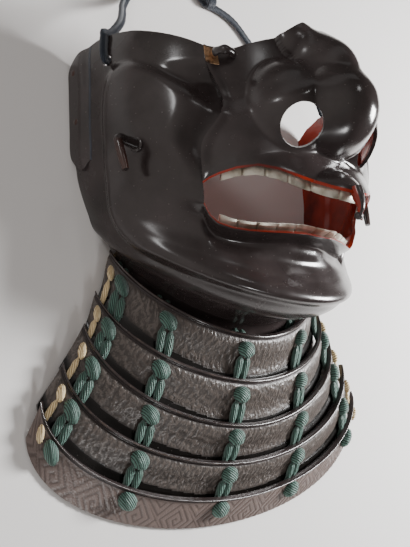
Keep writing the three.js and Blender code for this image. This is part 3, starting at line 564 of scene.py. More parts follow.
def hollowDepth(angle, ring):
    p = facePlate
    beside = (np.abs(angle) - alongValues(noseEdge, ring)) * p["degreePitch"]
    t = np.clip((ring - p["hollowLow"]) / (p["hollowHigh"] - p["hollowLow"]), 0, 1)
    width = mix(p["hollowNarrow"], p["hollowWide"], t)
    fade = smoothstep(0, p["hollowIn"], t) * (1 - smoothstep(p["hollowOut"], 1, t))
    return p["hollowDepth"] * fade * (1 - smoothstep(0, width, np.maximum(beside, 0)))


def cheekPoint(angle, ring, lift=0.0):
    return facePoint(angle, ring, lift + cheekLift(angle, ring) - hollowDepth(angle, ring))


# Across the face: 0 centre line, 1 the nose plate's edge, 2 the rear edge
def acrossAngle(across, ring):
    a = np.abs(across)
    edge = alongValues(noseEdge, ring)
    return np.sign(across) * np.where(a <= 1, a * edge, mix(edge, 90.0, a - 1))


def topAcross(across):
    return topRing(acrossAngle(across, lastRing))


def facePlateGrid(lift):
    p = facePlate
    beside = np.linspace(1, 2, p["side"] + 1)[1:]
    across = np.concatenate([-beside[::-1], np.linspace(-1, 1, p["mouth"] + 1), beside])[:, None]
    lipEdge = lipRing(across, "lower")
    low = lipEdge * np.linspace(0, 1, p["low"] + 1)[None]
    top = topAcross(across)
    high = mix(lipEdge, top, np.linspace(0, 1, p["high"] + 1)[None, 1:])
    ring = np.concatenate([low, high], 1)
    angle = acrossAngle(across, ring)
    onLip = 1 - smoothstep(*p["lipFade"], np.abs(across))
    flare = p["lipFlare"] * bump(lipEdge - ring, p["lipWidth"])
    groove = p["groove"] * bump(lipEdge - ring - p["grooveBelow"], p["grooveWidth"])
    bead = p["bead"] * bump(borderDistance(angle, ring) - p["fillet"] / 2, p["beadWidth"])
    rim = np.maximum(bump(top - ring, p["rimWidth"]), bump(ring, p["rimWidth"]))
    return cheekPoint(angle, ring, lift + onLip * (flare - groove) + bead), rim.ravel()


def cutWith(piece, shapes):
    points, faces = joinShapes(shapes)
    mesh = bpy.data.meshes.new("cutter")
    mesh.from_pydata(toFrame(points).tolist(), [], [f for group in faces for f in group.tolist()])
    cutter = addObject("cutter", mesh)
    cut = piece.modifiers.new("cut", "BOOLEAN")
    cut.operation = "DIFFERENCE"
    cut.solver = "EXACT"
    cut.object = cutter
    evaluated = piece.evaluated_get(bpy.context.evaluated_depsgraph_get())
    result = bpy.data.meshes.new_from_object(evaluated)
    piece.modifiers.clear()
    piece.data = result
    bpy.data.objects.remove(cutter)


def boreShape(middle, axis, bore):
    ends = np.array([middle - axis * bore["length"] / 2, middle + axis * bore["length"] / 2])
    sideways = unit(np.cross(axis, [0.0, 0.0, 1.0]))
    return tubeShape(ends, sideways, bore["radius"], bore["radius"], bore["sides"])


tieHole = {"angle": 73, "ring": 11.55, "radius": 2.6, "length": 9, "sides": 40}


def buildFacePlate():
    p = facePlate
    first, end = p["side"], p["side"] + p["mouth"]
    columns, rows = end + p["side"], p["low"] + p["high"]
    keep = np.ones((columns, rows), bool)
    keep[first:end, p["low"]:] = False
    faces, sides, cells = plateFaces(columns, rows, keep)
    outer, rim = facePlateGrid(0.0)
    inner, rim = facePlateGrid(-p["thickness"])
    i, j = cells.T
    lowerLip = (j >= p["low"] - p["redRows"]) & (j < p["low"]) & (i >= first) & (i < end)
    corners = (j >= p["low"]) & (((sides == 5) & (i < first)) | ((sides == 4) & (i >= end)))
    marks = {"rim": np.concatenate([rim, rim])}
    piece = makePiece("facePlate", bothSkins(outer, inner), faces, [blackUrushi, vermilion],
                      ["face_plate"], (sides == 1) | lowerLip | corners, marks=marks)
    holes = []
    for side, word in bothSides:
        middle = cheekPoint(side * tieHole["angle"], tieHole["ring"])
        axis = unit(cheekPoint(side * tieHole["angle"], tieHole["ring"], 1.0) - middle)
        holes.append(boreShape(middle, axis, tieHole))
    cutWith(piece, holes)
    roundRims(piece)


buildFacePlate()
print("face plate built")


# Nose plate with its nostrils, and the hooked beak with its ball
nosePlate = {
    "columns": 160, "rows": 130, "bead": 1.0, "beadWidth": 0.09, "rimWidth": 0.1, "redRows": 3, "sharp": 80,
    "skirtFrom": 0.98,
}
nostril = {
    "angle": 14.4, "ring": 9.76, "radius": 9.7, "length": 44, "sides": 56, "axis": (0.48, -0.66, 0.58),
}
beak = {
    "rootRing": 8.62, "out": [1.5, 2.6, 3.2, 1.6], "drop": [0, 4.5, 9, 12.5], "radius": [3.0, 2.7, 1.7, 0.9],
    "ball": 1.9, "ballRings": 16, "ballCap": 0.02, "steps": 8, "sides": 20, "redSides": (8, 17),
}


def nosePlateGrid(lift, skirt):
    p = nosePlate
    across = np.linspace(-1, 1, p["columns"] + 1)[:, None]
    lipEdge = lipRing(across, "upper")
    top = topAcross(across)
    ring = mix(lipEdge, top, np.linspace(0, 1, p["rows"] + 1)[None])
    angle = acrossAngle(across, ring)
    flare = facePlate["lipFlare"] * bump(ring - lipEdge, facePlate["lipWidth"])
    bead = p["bead"] * smoothstep(1 - p["beadWidth"], 1, np.abs(across))
    drop = skirt * hollowDepth(angle, ring) * smoothstep(p["skirtFrom"], 1, np.abs(across))
    rim = bump(top - ring, p["rimWidth"]) + 0 * across
    return facePoint(angle, ring, cheekLift(angle, ring) + lift + flare + bead - drop), rim.ravel()


def buildNosePlate():
    p = nosePlate
    outer, rim = nosePlateGrid(0.0, 0)
    inner, rim = nosePlateGrid(-facePlate["thickness"], 1)
    faces, sides, cells = plateFaces(p["columns"], p["rows"])
    paint = (sides == 1) | (sides == 2) | ((sides == 0) & (cells[:, 1] < p["redRows"]))
    marks = {"rim": np.concatenate([rim, rim])}
    piece = makePiece("nosePlate", bothSkins(outer, inner), faces, [blackUrushi, vermilion],
                      ["nose_plate"], paint, marks=marks, sharp=p["sharp"])
    bores = []
    for side, word in bothSides:
        middle = facePoint(side * nostril["angle"], nostril["ring"])
        bores.append(boreShape(middle, unit(np.array(nostril["axis"]) * (side, 1, 1)), nostril))
    cutWith(piece, bores)
    roundRims(piece)


def buildBeak():
    p = beak
    root = facePoint(0.0, p["rootRing"], facePlate["lipFlare"])
    steps = [root + (0, -drop, out) for out, drop in zip(p["out"], p["drop"])]
    path = smoothRoute(steps, p["steps"])
    radius = spread(p["radius"], len(path))
    hook = tubeShape(path, (1.0, 0.0, 0.0), radius, radius, p["sides"])
    turn = np.linspace(p["ballCap"], np.pi - p["ballCap"], p["ballRings"])
    up = np.stack([0 * turn, -p["ball"] * np.cos(turn), 0 * turn], 1)
    girth = p["ball"] * np.sin(turn)
    ball = tubeShape(steps[-1] + up, (1.0, 0.0, 0.0), girth, girth, p["sides"])
    points, faces = joinShapes([hook, ball])
    sides = np.arange(p["sides"])
    underside = (sides >= p["redSides"][0]) & (sides <= p["redSides"][1])
    paint = paintFirst(faces, np.tile(underside, len(path) - 1))
    makePiece("beak", points, faces, [blackUrushi, vermilion], paint=paint)


buildNosePlate()
buildBeak()
print("nose plate built")


# Teeth: a strip of flat broad teeth behind each lip
teeth = {
    "count": 11, "perTooth": 20, "rows": 10, "reach": {"upper": 0.26, "lower": 0.36}, "hidden": 0.15,
    "thickness": 1.2, "span": 0.87, "clearance": 1.0, "gap": 0.6, "gapFrom": 0.9, "crown": 0.25,
    "corner": 0.03, "cornerFrom": 0.8,
}


def buildTeeth(row):
    p = teeth
    columns = p["count"] * p["perTooth"]
    across = p["span"] * np.linspace(-1, 1, columns + 1)[:, None]
    share = np.linspace(0, 1, p["rows"] + 1)[None]
    inward = -1 if row == "upper" else 1
    within = np.abs((np.arange(columns + 1) / p["perTooth"]) % 1 * 2 - 1)[:, None]
    tip = p["reach"][row] - p["corner"] * smoothstep(p["cornerFrom"], 1, within)
    ring = lipRing(across, row) + inward * mix(-p["hidden"], tip, 1 - share if row == "upper" else share)
    angle = acrossAngle(across, ring)
    flare = facePlate["lipFlare"] * bump(p["hidden"], facePlate["lipWidth"])
    base = cheekLift(angle, ring) + flare - facePlate["thickness"] - p["clearance"]
    face = p["crown"] * (1 - within ** 2) - p["gap"] * smoothstep(p["gapFrom"], 1, within)
    outer = facePoint(angle, ring, base + face)
    inner = facePoint(angle, ring, base - p["thickness"])
    faces, sides, cells = plateFaces(columns, p["rows"])
    makePiece(row + "Teeth", bothSkins(outer, inner), faces, [silver], [row + "_teeth"])


for row in ("upper", "lower"):
    buildTeeth(row)
print("teeth built")


# Ear plates laid over the rear edge of each cheek, thinned along the front seam, with two rivets
earPlate = {
    "front": 80, "low": 7.0, "drop": 1.0, "dropEnd": 0.5, "high": 12.55, "slope": 0.25, "lift": 1.95,
    "seamLift": 0.12, "thinShare": 0.5, "sunk": 0.3, "cornerStart": 0.3, "cornerLow": 0.7, "cornerHigh": 1.1,
    "columns": 40, "rows": 110, "seamColumns": 3, "rimWidth": 0.6,
}
earRivets = {
    "places": [(87.2, 11.6), (86.2, 9.0)], "radius": 1.6, "rise": 0.6, "rings": 7, "sides": 18,
    "flat": 0.002, "feel": 5.0,
}


def buildEarPlate(side, word):
    p = earPlate
    share = np.linspace(0, 1, p["columns"] + 1)[:, None]
    turn = np.clip((share - p["cornerStart"]) / (1 - p["cornerStart"]), 0, 1)
    rounding = 1 - np.sqrt(1 - turn ** 2)
    low = p["low"] - p["drop"] * smoothstep(0, p["dropEnd"], share) + p["cornerLow"] * rounding
    high = p["high"] + p["slope"] * (1 - share) - p["cornerHigh"] * rounding
    ring = mix(low, high, np.linspace(0, 1, p["rows"] + 1)[None])
    angle = side * mix(p["front"], 90.0, share) + 0 * ring
    outer = cheekPoint(angle, ring, p["seamLift"] + p["lift"] * smoothstep(0, p["thinShare"], share))
    inner = cheekPoint(angle, ring, -p["sunk"])
    if side < 0:
        outer, inner = outer[::-1], inner[::-1]
    faces, sides, cells = plateFaces(p["columns"], p["rows"])
    fromSeam = cells[:, 0] if side > 0 else p["columns"] - 1 - cells[:, 0]
    piece = makePiece("earPlate" + word, bothSkins(outer, inner), faces, [blackUrushi, seamUrushi],
                      ["ear_plate_" + word.lower()], fromSeam < p["seamColumns"])
    roundRims(piece, p["rimWidth"])


def buildEarRivets(side, word):
    p = earRivets
    rivets = []
    for angle, ring in p["places"]:
        middle = cheekPoint(side * angle, ring, earPlate["lift"])
        out = unit(cheekPoint(side * angle, ring, p["feel"]) - cheekPoint(side * angle, ring))
        rise = np.linspace(0, 1, p["rings"])
        path = middle + out * (p["rise"] * rise)[:, None]
        radius = p["radius"] * np.sqrt(np.maximum(1 - rise ** 2, p["flat"]))
        rivets.append(tubeShape(path, (0.0, 1.0, 0.0), radius, radius, p["sides"]))
    points, faces = joinShapes(rivets)
    makePiece("earRivets" + word, points, faces, [barUrushi])


# Cord pegs: a post on the cheek with a bar bent toward the chin, its lacquer rubbed brown
cordPeg = {
    "angle": 60.5, "ring": 8.44, "sunk": 3.0, "start": 2.0, "post": 18, "bar": 15, "footRadius": 2.6,
    "waistRadius": 2.2, "barRadius": 1.9, "tipRadius": 1.5, "corner": 1.6, "cornerCut": 0.35, "middle": 0.6,
    "postWay": (0.97, -0.03, 0.22), "barWay": (-0.12, -0.9, 0.15), "sides": 20, "brownFrom": 30,
    "collar": [3.0, 3.5, 3.6, 3.4, 2.4], "collarFrom": 2.2, "collarTo": 3.8, "collarSides": 24,
    "steps": 8, "rimWidth": 0.4,
}


def buildCordPeg(side, word):
    p = cordPeg
    postWay, barWay = [unit(np.array(p[key]) * (side, 1, 1)) for key in ("postWay", "barWay")]
    foot = cheekPoint(side * p["angle"], p["ring"], -p["sunk"])
    elbow = foot + postWay * (p["post"] - p["sunk"])
    start = foot + postWay * p["start"]
    corner = p["corner"]
    steps = [start, mix(start, elbow, p["middle"]), elbow - postWay * corner,
             elbow + (barWay - postWay) * p["cornerCut"] * corner, elbow + barWay * corner,
             elbow + barWay * p["middle"] * p["bar"], elbow + barWay * p["bar"]]
    path = smoothRoute(steps, p["steps"])
    waist, bar = p["waistRadius"], p["barRadius"]
    radii = [p["footRadius"], waist, waist, waist, bar, bar, p["tipRadius"]]
    radius = spread(radii, len(path))
    shape = tubeShape(path, (0.3, 0.2, 1.0), radius, radius, p["sides"])
    up = np.linspace(p["collarFrom"], p["collarTo"], len(p["collar"]))[:, None]
    collar = tubeShape(foot + postWay * up, (0.0, 0.2, 1.0), p["collar"], p["collar"], p["collarSides"])
    points, faces = joinShapes([shape, collar])
    paint = paintFirst(faces, np.repeat(np.arange(len(path) - 1) > p["brownFrom"], p["sides"]))
    piece = makePiece("cordPeg" + word, points, faces, [blackUrushi, barUrushi],
                      ["cord_peg_" + word.lower()], paint)
    roundRims(piece, p["rimWidth"])


# Nose hooks: a staple folded from strip on each top corner of the nose plate, over a worn copper patch
noseHook = {
    "across": 0.86, "belowTop": 0.22, "span": 4.6, "rise": 6.5, "root": -1.0, "radius": 1.3, "swell": 0.3,
    "wide": 1.3, "deep": 0.9, "steps": 24, "sides": 16, "blackTo": 2.5, "feel": 0.02,
}
hookPatch = {
    "across": (0.9, 1.0), "down": (0.5, 0.04), "lift": 0.25, "sunk": 0.4, "cells": 12, "rimWidth": 0.2,
}


def buildNoseHook(side, word):
    p = noseHook
    here = np.array(p["across"])
    ring = topAcross(here) - p["belowTop"]

    def at(across, lift):
        return facePoint(side * acrossAngle(np.array(across), ring), ring, lift)

    start = at(here, cheekLift(acrossAngle(here, ring), ring) + p["root"])
    out = unit(at(here, 1.0) - at(here, 0.0))
    sideways = unit(at(here - p["feel"], 0.0) - at(here, 0.0))
    turn = np.linspace(0, np.pi, p["steps"])
    arch = start + np.outer(np.cos(turn) * p["span"], sideways) + np.outer(np.sin(turn) * p["rise"], out)
    swell = p["radius"] * (1 + p["swell"] * np.sin(3 * turn) ** 2)
    strip = tubeShape(arch, np.cross(out, sideways), p["wide"] * swell, p["deep"] * swell, p["sides"])
    points, faces = joinShapes([strip])
    paint = paintFirst(faces, np.repeat(turn[:-1] < p["blackTo"], p["sides"]))
    makePiece("noseHook" + word, points, faces, [copper, blackUrushi],
              ["nose_hook_" + word.lower()], paint)


def buildHookPatch(side, word):
    p = hookPatch
    across = np.linspace(*p["across"], p["cells"] + 1)[:, None]
    ring = topAcross(across) - np.linspace(*p["down"], p["cells"] + 1)[None]
    angle = acrossAngle(across, ring)
    bead = nosePlate["bead"] * smoothstep(1 - nosePlate["beadWidth"], 1, across)
    base = cheekLift(angle, ring) + bead
    skins = [facePoint(side * angle, ring, base + lift) for lift in (p["lift"], -p["sunk"])]
    if side < 0:
        skins = [skin[::-1] for skin in skins]
    faces, sides, cells = plateFaces(p["cells"], p["cells"])
    piece = makePiece("hookPatch" + word, bothSkins(*skins), faces, [copper])
    roundRims(piece, p["rimWidth"])


for side, word in bothSides:
    for build in (buildEarPlate, buildEarRivets, buildCordPeg, buildNoseHook, buildHookPatch):
        build(side, word)
print("ear plates, pegs and hooks built")


# Throat guard: rims of the five lames, then the lower edge of the last
lameRims = {
    "halfWidth": [67, 76, 83, 94, 103.5, 106.5],
    "shift": [0, 0, 0, 0, -0.5, -2.5],
    "rearY": [78, 58, 43, 26, 10, -4],
    "rearZ": [4.5, 5, 6, 6.5, 6, 1.45],
    "frontY": [37.5, 16.5, -4.5, -22, -39, -52],
    "frontZ": [31, 25.5, 21.5, 15.5, 9.5, 1.45],
    "power": [1.8, 1.83, 1.88, 1.93, 1.95, 2],
}
lame = {
    "count": 5, "thickness": 1.5, "tuck": 4, "tuckStart": 0.2, "tuckEnd": 0.85, "columns": 480,
    "bodyRows": 34, "reach": 1.06, "rimRows": 12, "rimEnd": 0.14, "rimRise": 1.15, "rimDown": 0.045,
    "rimWide": 0.04, "leatherTop": 0.13, "topFade": 0.04, "leatherEnd": [0.95, 0.74], "endFade": 0.06,
    "shadeBandAngle": [25, 75], "flatApart": 400.0, "rounding": 0.45,
    "feel": (0.5, 0.05),  # degrees and share to each side where the lie of the sheet is felt
}
fretStamp = {
    "columns": 520, "rows": 44, "tileMm": 16.0, "turns": 3, "rise": 0.17, "fade": (0.12, 0.2),
    "lineIn": (0.04, 0.3), "lineOut": (0.4, 0.66),
}
crinkle = {
    "ridgeMm": 1.7, "wander": 3.2, "wanderMm": 22.0, "kink": 0.55, "kinkMm": 4.5, "breakMm": 3.4,
    "rise": 0.38, "leans": (0.25, -0.6), "kept": (-0.5, 0.7), "broken": 0.1, "blend": 0.3, "seed": 40,
}


def rimPoint(k, angle):
    r = {key: values[k] for key, values in lameRims.items()}
    depth = np.hypot(r["frontY"] - r["rearY"], r["frontZ"] - r["rearZ"])
    reach, s, c = outlineReach(angle, r["halfWidth"], depth, r["power"])
    forward = reach * c / depth
    y, z = mix(r["rearY"], r["frontY"], forward), mix(r["rearZ"], r["frontZ"], forward)
    return np.stack([r["shift"] + reach * s, y, z], -1)


def lameLoft(k, angle, down):
    angle, down = np.broadcast_arrays(np.asarray(angle, float), np.asarray(down, float))
    return mix(rimPoint(k, angle), rimPoint(k + 1, angle), down[..., None])


def lameFrame(k, angle, down):
    turn, step = lame["feel"]
    sideways = unit(lameLoft(k, angle + turn, down) - lameLoft(k, angle - turn, down))
    upward = unit(lameLoft(k, angle, down - step) - lameLoft(k, angle, down + step))
    outward = unit(np.cross(sideways, upward))
    tucked = lame["tuck"] if k + 1 < lame["count"] else 0.0
    tuck = tucked * smoothstep(lame["tuckStart"], lame["tuckEnd"], down)
    return lameLoft(k, angle, down) - outward * tuck[..., None], outward, sideways, upward


# A key fret of square spirals set cornerwise, every second one mirrored; 1 in the pressed lines
def keyFret(u, v):
    p = fretStamp
    u, v = (u + v) / math.sqrt(2) / p["tileMm"], (u - v) / math.sqrt(2) / p["tileMm"]
    x, y = (u - np.floor(u)) * 2 - 1, (v - np.floor(v)) * 2 - 1
    x = np.where((np.floor(u) + np.floor(v)) % 2 > 0, -x, x)
    turn = np.arctan2(y, x) / (2 * np.pi)
    spiral = (np.maximum(np.abs(x), np.abs(y)) * p["turns"] + turn) % 1
    return smoothstep(*p["lineIn"], spiral) * (1 - smoothstep(*p["lineOut"], spiral))


# Slow random waves of about one size in mm, near -1 to 1
def softNoise(u, v, size, chance, waves=9):
    total = 0 * u
    for n in range(waves):
        way, start = chance.uniform(0, 2 * np.pi, 2)
        pace = 2 * np.pi / size * chance.uniform(0.6, 1.4)
        total = total + np.sin((u * np.cos(way) + v * np.sin(way)) * pace + start)
    return total / math.sqrt(waves)


# Crepe of short ridges that wander and break off, two ways crossing; 0 in the valleys, 1 on the crests
def crinkleHeight(u, v, k):
    p = crinkle
    chance = np.random.default_rng(p["seed"] + k)
    height = 0 * u
    for lean in p["leans"]:
        drift = p["wander"] * softNoise(u, v, p["wanderMm"], chance)
        drift = drift + p["kink"] * softNoise(u, v, p["kinkMm"], chance)
        ridges = 0.5 + 0.5 * np.sin((u + lean * v + drift) * 2 * np.pi / p["ridgeMm"])
        kept = smoothstep(*p["kept"], softNoise(u, v, p["breakMm"], chance))
        height = smoothMax(height, ridges * mix(p["broken"], 1.0, kept), p["blend"])
    return np.clip(height, 0, 1)


def leatherEnd(angle):
    return np.interp(np.abs(angle), lame["shadeBandAngle"], lame["leatherEnd"])  # below it a near-black band paints the shade under the next lame's rim, wider toward the lame's ends


def buildLame(k):
    p = lame
    last = k + 1 == p["count"]
    columns, bodyRows, reach = p["columns"], p["bodyRows"], p["reach"]
    if last:
        columns, bodyRows, reach = fretStamp["columns"], fretStamp["rows"], 1.0
    rim = np.linspace(0, p["rimEnd"], p["rimRows"])
    body = np.linspace(p["rimEnd"], reach, bodyRows + 1)[1:]
    down = np.concatenate([rim, body])[::-1][None]
    angle = np.linspace(-90, 90, columns + 1)[:, None] + 0 * down
    down = down + 0 * angle
    point, outward, sideways, upward = lameFrame(k, angle, down)
    arc = runLength(point[:, down.shape[1] // 2])[:, None] + 0 * down
    height = np.linalg.norm(lameLoft(k, 0.0, 0.0) - lameLoft(k, 0.0, 1.0))
    flat = np.stack([arc + p["flatApart"] * k, -down * height], -1).reshape(-1, 2) * mm
    lift = p["rimRise"] * np.sqrt(np.clip(1 - ((down - p["rimDown"]) / p["rimWide"]) ** 2, 0, 1))
    fret = keyFret(arc, down * height) * smoothstep(*fretStamp["fade"], down)
    end = leatherEnd(angle)
    skin = smoothstep(p["leatherTop"], p["leatherTop"] + p["topFade"], down)
    skin = skin * (1 - smoothstep(end - p["endFade"], end, down))
    wrinkles = skin * crinkleHeight(arc, down * height, k)
    lift = lift - fretStamp["rise"] * fret if last else lift + crinkle["rise"] * wrinkles
    outer = point + outward * lift[..., None]
    inner = point - outward * p["thickness"]
    faces, sides, cells = plateFaces(columns, down.shape[1] - 1)
    middle = 0.5 * (down[0, :-1] + down[0, 1:])[cells[:, 1]]
    covered = (sides == 0) & (middle > p["leatherTop"])
    # outer cells past the leather's end take the near-black band of painted shade
    paint = np.where(covered, np.where((middle < leatherEnd(angle[cells[:, 0], 0])) | last, 1, 2), 0)
    rimWear = bump(down - p["rimDown"], p["rimWide"])
    marks = {"rim": rimWear, "fret": fret, "crinkle": wrinkles}
    marks = {key: np.concatenate([values.ravel(), 0 * values.ravel()]) for key, values in marks.items()}
    materials = [blackUrushi, fretLeather if last else leather, paintedShadeBand]
    piece = makePiece("lame" + str(k + 1), bothSkins(outer, inner), faces, materials,
                      ["lame_" + str(k + 1)], paint, np.concatenate([flat, flat]), marks)
    roundRims(piece, p["rounding"])


for k in range(lame["count"]):
    buildLame(k)
print("throat guard built")


# Lacing: columns of paired silk strands, with a wound knot on each lame
lacing = {
    "angles": [-79, -56.5, -9, 45, 79], "lean": -0.5, "down": 0.35, "offsets": [-2.2, 2.2], "halfWide": 1.8,
    "halfDeep": 1.4, "knot": (4.6, 4.0, 3.2), "thread": 1.4, "threadRise": 0.45, "seed": 0,
}
edgeLacing = {
    "angles": [-85.5, 85.5], "lean": 0.0, "down": 0.35, "offsets": [0.0], "halfWide": 1.25, "halfDeep": 0.9,
    "knot": (2.6, 3.2, 2.2), "thread": 1.3, "threadRise": 0.4, "seed": 20,
}
strand = {
    "place": [0, 0.4, 1.0, 1.6, 2.0, 3.0, 5.0], "share": [0.25, 0.4, 1.1, 1.15, 0.85, 0.6, 0.5], "steps": 9,
    "sides": 16, "squareness": 2.2,
}
knot = {
    "rings": 25, "sides": 36, "cap": 0.03, "fullness": 0.85, "bow": 0.12, "sits": 0.35, "slant": (0.5, 0.9),
}
throughSlot = {"down": [-0.13, -0.01, 0.01], "lift": [-2.7, -2.5, 1.6]}
overLame = {"start": 0.1, "middle": 0.62, "end": 0.98, "startLift": 1.5, "middleLift": 1.9, "endLift": 1.4}
flange = {"ring": 0.74, "rise": 0.03, "fall": 0.25, "behind": -3.5, "over": 1.4}


def lameSpot(k, angle, down, lift, offset):
    arc = np.linalg.norm(lameLoft(k, angle + 1, down) - lameLoft(k, angle, down))
    point, outward, sideways, upward = lameFrame(k, np.array(angle + offset / arc), np.array(down))
    return point + outward * lift, sideways


def flangeSpot(angle, ring, lift, offset):
    arc = np.linalg.norm(cheekPoint(angle + 1.0, ring) - cheekPoint(angle, ring))
    turned = angle + offset / arc
    sideways = unit(cheekPoint(turned + 1.0, ring) - cheekPoint(turned, ring))
    return cheekPoint(turned, ring, lift), sideways


def slotSpots(k, angle, down, offset):
    steps = zip(throughSlot["down"], throughSlot["lift"])
    return [lameSpot(k, angle, down + step, lift, offset) for step, lift in steps]


def strandShape(spots, style):
    path = smoothRoute([point for point, sideways in spots], strand["steps"])
    places = np.linspace(0, len(spots) - 1, len(path))
    ways = np.array([sideways for point, sideways in spots])
    sideways = np.stack([spread(way, len(path)) for way in ways.T], 1)
    plump = np.interp(places, strand["place"], strand["share"])
    wide, deep = style["halfWide"] * plump, style["halfDeep"] * plump
    return tubeShape(path, sideways, wide, deep, strand["sides"], strand["squareness"])


# A knot is a flattened ball wound slantwise; its threads stand as ridges
def knotShape(k, angle, style, slant):
    point, outward, sideways, upward = lameFrame(k, np.array(angle), np.array(style["down"]))
    wide, high, deep = style["knot"]
    rise = np.linspace(knot["cap"], np.pi - knot["cap"], knot["rings"])
    turn = 2 * np.pi * np.arange(knot["sides"]) / knot["sides"]
    x = wide * np.outer(np.sin(rise) ** knot["fullness"], np.cos(turn))
    z = deep * np.outer(np.sin(rise) ** knot["fullness"], np.sin(turn))
    y = -high * np.cos(rise)[:, None] + 0 * x
    wound = (x * math.sin(slant) + y * math.cos(slant) + knot["bow"] * x * x / wide) / style["thread"]
    proud = 1 + style["threadRise"] / wide * (np.abs(np.cos(np.pi * wound)) - 0.5)
    rings = (point + outward * (knot["sits"] * deep) + (x * proud)[..., None] * sideways
             + y[..., None] * upward + (z * proud)[..., None] * outward)
    path = rings.mean(1)
    shape = tubeShape(path, sideways, 1.0, 1.0, knot["sides"])
    points = np.concatenate([rings.reshape(-1, 3), path[:1], path[-1:]])
    flat = np.stack([wound * style["thread"], 0 * wound], -1).reshape(-1, 2)
    return (points, shape[1], shape[2]), np.concatenate([flat, [[0, 0], [0, 0]]])


def buildLace(name, node, angle, style, material, seed):
    chance = np.random.default_rng(seed)
    shapes, flats, strands = [], [], []
    for k in range(lame["count"]):
        shape, flat = knotShape(k, angle + style["lean"] * k, style, chance.uniform(*knot["slant"]))
        shapes.append(shape)
        flats.append(flat)
    for offset in style["offsets"]:
        hanger = [flangeSpot(angle, flange["ring"] + flange["rise"], flange["behind"], offset),
                  flangeSpot(angle, flange["ring"], flange["over"], offset),
                  flangeSpot(angle, flange["ring"] - flange["fall"], flange["over"], offset)]
        strands.append(hanger + slotSpots(0, angle, style["down"], offset))
        for k in range(lame["count"] - 1):
            here, following = angle + style["lean"] * k, angle + style["lean"] * (k + 1)
            run = [lameSpot(k, here, style["down"] + overLame["start"], overLame["startLift"], offset),
                   lameSpot(k, here, overLame["middle"], overLame["middleLift"], offset),
                   lameSpot(k, here, overLame["end"], overLame["endLift"], offset)]
            strands.append(run + slotSpots(k + 1, following, style["down"], offset))
    for spots in strands:
        shape = strandShape(spots, style)
        shapes.append(shape)
        flats.append(tubeFlat(shape, strand["sides"], style["halfWide"]))
    points, faces = joinShapes(shapes)
    makePiece(name, points, faces, [material], [node], uv=np.concatenate(flats) * mm)


for n, angle in enumerate(lacing["angles"]):
    number = str(n + 1)
    buildLace("lace" + number, "lace_" + number, angle, lacing, teal, lacing["seed"] + n)
for n, (side, word) in enumerate(bothSides):
    angle, seed = edgeLacing["angles"][n], edgeLacing["seed"] + n
    buildLace("edgeLace" + word, "edge_lace_" + word.lower(), angle, edgeLacing, tan, seed)
print("lacing built")


# Tie cord: one flat braid from a slit in the right cheek, over its top edge, round on the table to the left
tieCord = {
    "width": 4.4, "depth": 2.0, "holeBehind": 4, "inside": 1, "outside": 1.2, "standing": 2.0,
    "leave": 0.04, "low": 0.4, "high": 0.95, "overTop": 0.15, "pastTop": 0.55,
    "laid": [
        (-70, 184, 22), (-63, 196, 15), (-56, 207, 6), (-50, 217, 2.2), (-42, 236, 2.2), (-38, 262, 2.2),
        (-28, 284, 2.2), (-10, 286, 2.2), (-4, 268, 2.2), (-6, 248, 2.2), (4, 234, 2.4), (16, 233, 2.4),
        (28, 230, 2.2), (44, 217, 2.6), (60, 200, 9), (74, 184, 22),
    ],
    "routeSteps": 9, "points": 380, "sides": 14, "squareness": 2.6, "plaitMm": 3.2, "plaitRise": 0.06,
}
tieKnot = {
    "middle": (7, 234, 4.2), "leans": (-0.5, 0.1, 0.6), "reach": 3.0, "swing": 0.9, "depth": 2.6,
    "steps": 30, "halfWide": 1.5, "halfDeep": 0.9, "sides": 10,
}


def tieEnd(side):
    p = tieCord
    angle, ring = side * tieHole["angle"], tieHole["ring"]
    top = topRing(np.array(angle))
    rows = [(ring, -facePlate["thickness"] - p["holeBehind"]), (ring, -p["inside"]),
            (ring + p["leave"], p["outside"]), (ring + p["low"], p["standing"]),
            (ring + p["high"], p["standing"]), (top + p["overTop"], p["standing"]),
            (top + p["pastTop"], -p["inside"])]
    return [cheekPoint(float(angle), float(r), lift) for r, lift in rows]


def buildTieKnot():
    p = tieKnot
    wraps, flats = [], []
    for lean in p["leans"]:
        t = np.linspace(0, 2 * np.pi, p["steps"])
        aside = lean * (p["reach"] + p["swing"] * np.cos(t))
        ring = np.stack([aside, p["reach"] * np.cos(t), p["depth"] * np.sin(t)], 1)
        path = np.array(p["middle"]) + ring
        wraps.append(tubeShape(path, (1.0, 0.0, 0.0), p["halfWide"], p["halfDeep"], p["sides"]))
        flats.append(tubeFlat(wraps[-1], p["sides"], p["halfWide"]))
    points, faces = joinShapes(wraps)
    return makePiece("tieKnot", points, faces, [navy], uv=np.concatenate(flats) * mm)


def buildTieCord():
    p = tieCord
    laid = [np.array(q, float) for q in p["laid"]]
    route = smoothRoute(tieEnd(-1) + laid + tieEnd(1)[::-1], p["routeSteps"])
    run = runLength(route)
    even = np.linspace(0, run[-1], p["points"])
    path = np.stack([np.interp(even, run, route[:, axis]) for axis in range(3)], 1)
    heading = unit(np.gradient(path, axis=0))
    sideways = unit(np.cross(heading, (0.0, 0.0, 1.0)))  # the flat of the braid lies on the table
    plait = 1 + p["plaitRise"] * np.sin(even * 2 * np.pi / p["plaitMm"])
    wide, deep = 0.5 * p["width"] * plait, 0.5 * p["depth"] * plait
    points, faces = joinShapes([tubeShape(path, sideways, wide, deep, p["sides"], p["squareness"])])
    turn = 2 * np.pi * np.arange(p["sides"]) / p["sides"]
    aside = np.cos(turn) * p["width"] / 2
    flat = np.stack(np.broadcast_arrays(aside[None], even[:, None]), -1).reshape(-1, 2)
    flat = np.concatenate([flat, [[0, 0], [0, even[-1]]]]) * mm
    cord = makePiece("tieCord", points, faces, [navy], ["tie_cord"], uv=flat)
    buildTieKnot()


buildTieCord()


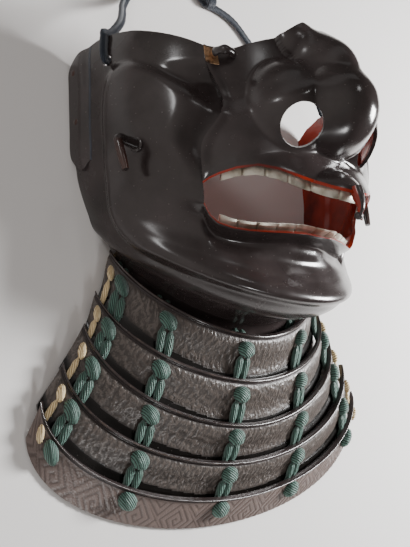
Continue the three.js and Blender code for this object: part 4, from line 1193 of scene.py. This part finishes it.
# Pale table in a dim room that is lighter at the left: a strong low window at the right, small soft ones
# at the left, above and below, and a faint far wall
studio = {
    "tableSize": 6.0, "table": "#e9e7e5", "tableRoughness": 0.7, "aim": (0, 0, 0.05), "room": "#fff6f1",
    "roomWay": (-0.9, 0.0, 0.43),
    "roomLight": [(0.0, 0.05), (0.5, 0.09), (0.75, 0.25), (0.92, 0.55), (1.0, 0.66)],
}
lights = [
    {"name": "windowLeft", "place": (-0.7, 0.44, 0.5), "size": (0.11, 0.11), "power": 0.8},
    {"name": "windowRight", "place": (0.6, 0.04, 0.42), "size": (0.2, 0.24), "power": 14.0},
    {"name": "windowAbove", "place": (0.1, 0.6, 1.0), "size": (0.14, 0.1), "power": 0.3},
    {"name": "windowBelow", "place": (-0.08, -0.76, 0.48), "size": (0.12, 0.16), "power": 1.6},
    {"name": "farWall", "place": (-0.08, 0.98, 0.56), "size": (1.0, 0.3), "power": 0.25},
]


def buildTable():
    half = studio["tableSize"] / 2
    corners = [(-half, -half, 0), (half, -half, 0), (half, half, 0), (-half, half, 0)]
    mesh = bpy.data.meshes.new("table")
    mesh.from_pydata(corners, [], [(0, 1, 2, 3)])
    matte = {"Base Color": hexColour(studio["table"]), "Roughness": studio["tableRoughness"]}
    mesh.materials.append(newMaterial("matteWhitePaper", matte)[0])
    addObject("table", mesh)


def lightRoom():
    world = bpy.data.worlds.new("brightRoom")
    world.use_nodes = True
    tree = world.node_tree
    around = addNode(tree, "TexCoord", out="Generated")
    way = {1: studio["roomWay"]}
    facing = addNode(tree, "VectorMath", way, {0: around}, out="Value", operation="DOT_PRODUCT")
    along = addNode(tree, "Math", {1: 0.5, 2: 0.5}, {0: facing}, operation="MULTIPLY_ADD")
    tint = hexColour(studio["room"])[:3]
    shades = [(place, tuple(part * light for part in tint) + (1.0,)) for place, light in studio["roomLight"]]
    room = addNode(tree, "ValToRGB", links={"Fac": along}, stops=shades)
    tree.links.new(room, tree.nodes["Background"].inputs["Color"])
    bpy.context.scene.world = world
    for row in lights:
        light = bpy.data.lights.new(row["name"], "AREA")
        light.shape = "RECTANGLE"
        light.size, light.size_y = row["size"]
        light.energy = row["power"]
        holder = addObject(row["name"], light)
        holder.location = row["place"]
        holder.rotation_mode = "QUATERNION"
        holder.rotation_quaternion = (Vector(studio["aim"]) - Vector(row["place"])).to_track_quat("-Z", "Y")


buildTable()
lightRoom()
print("studio lit")
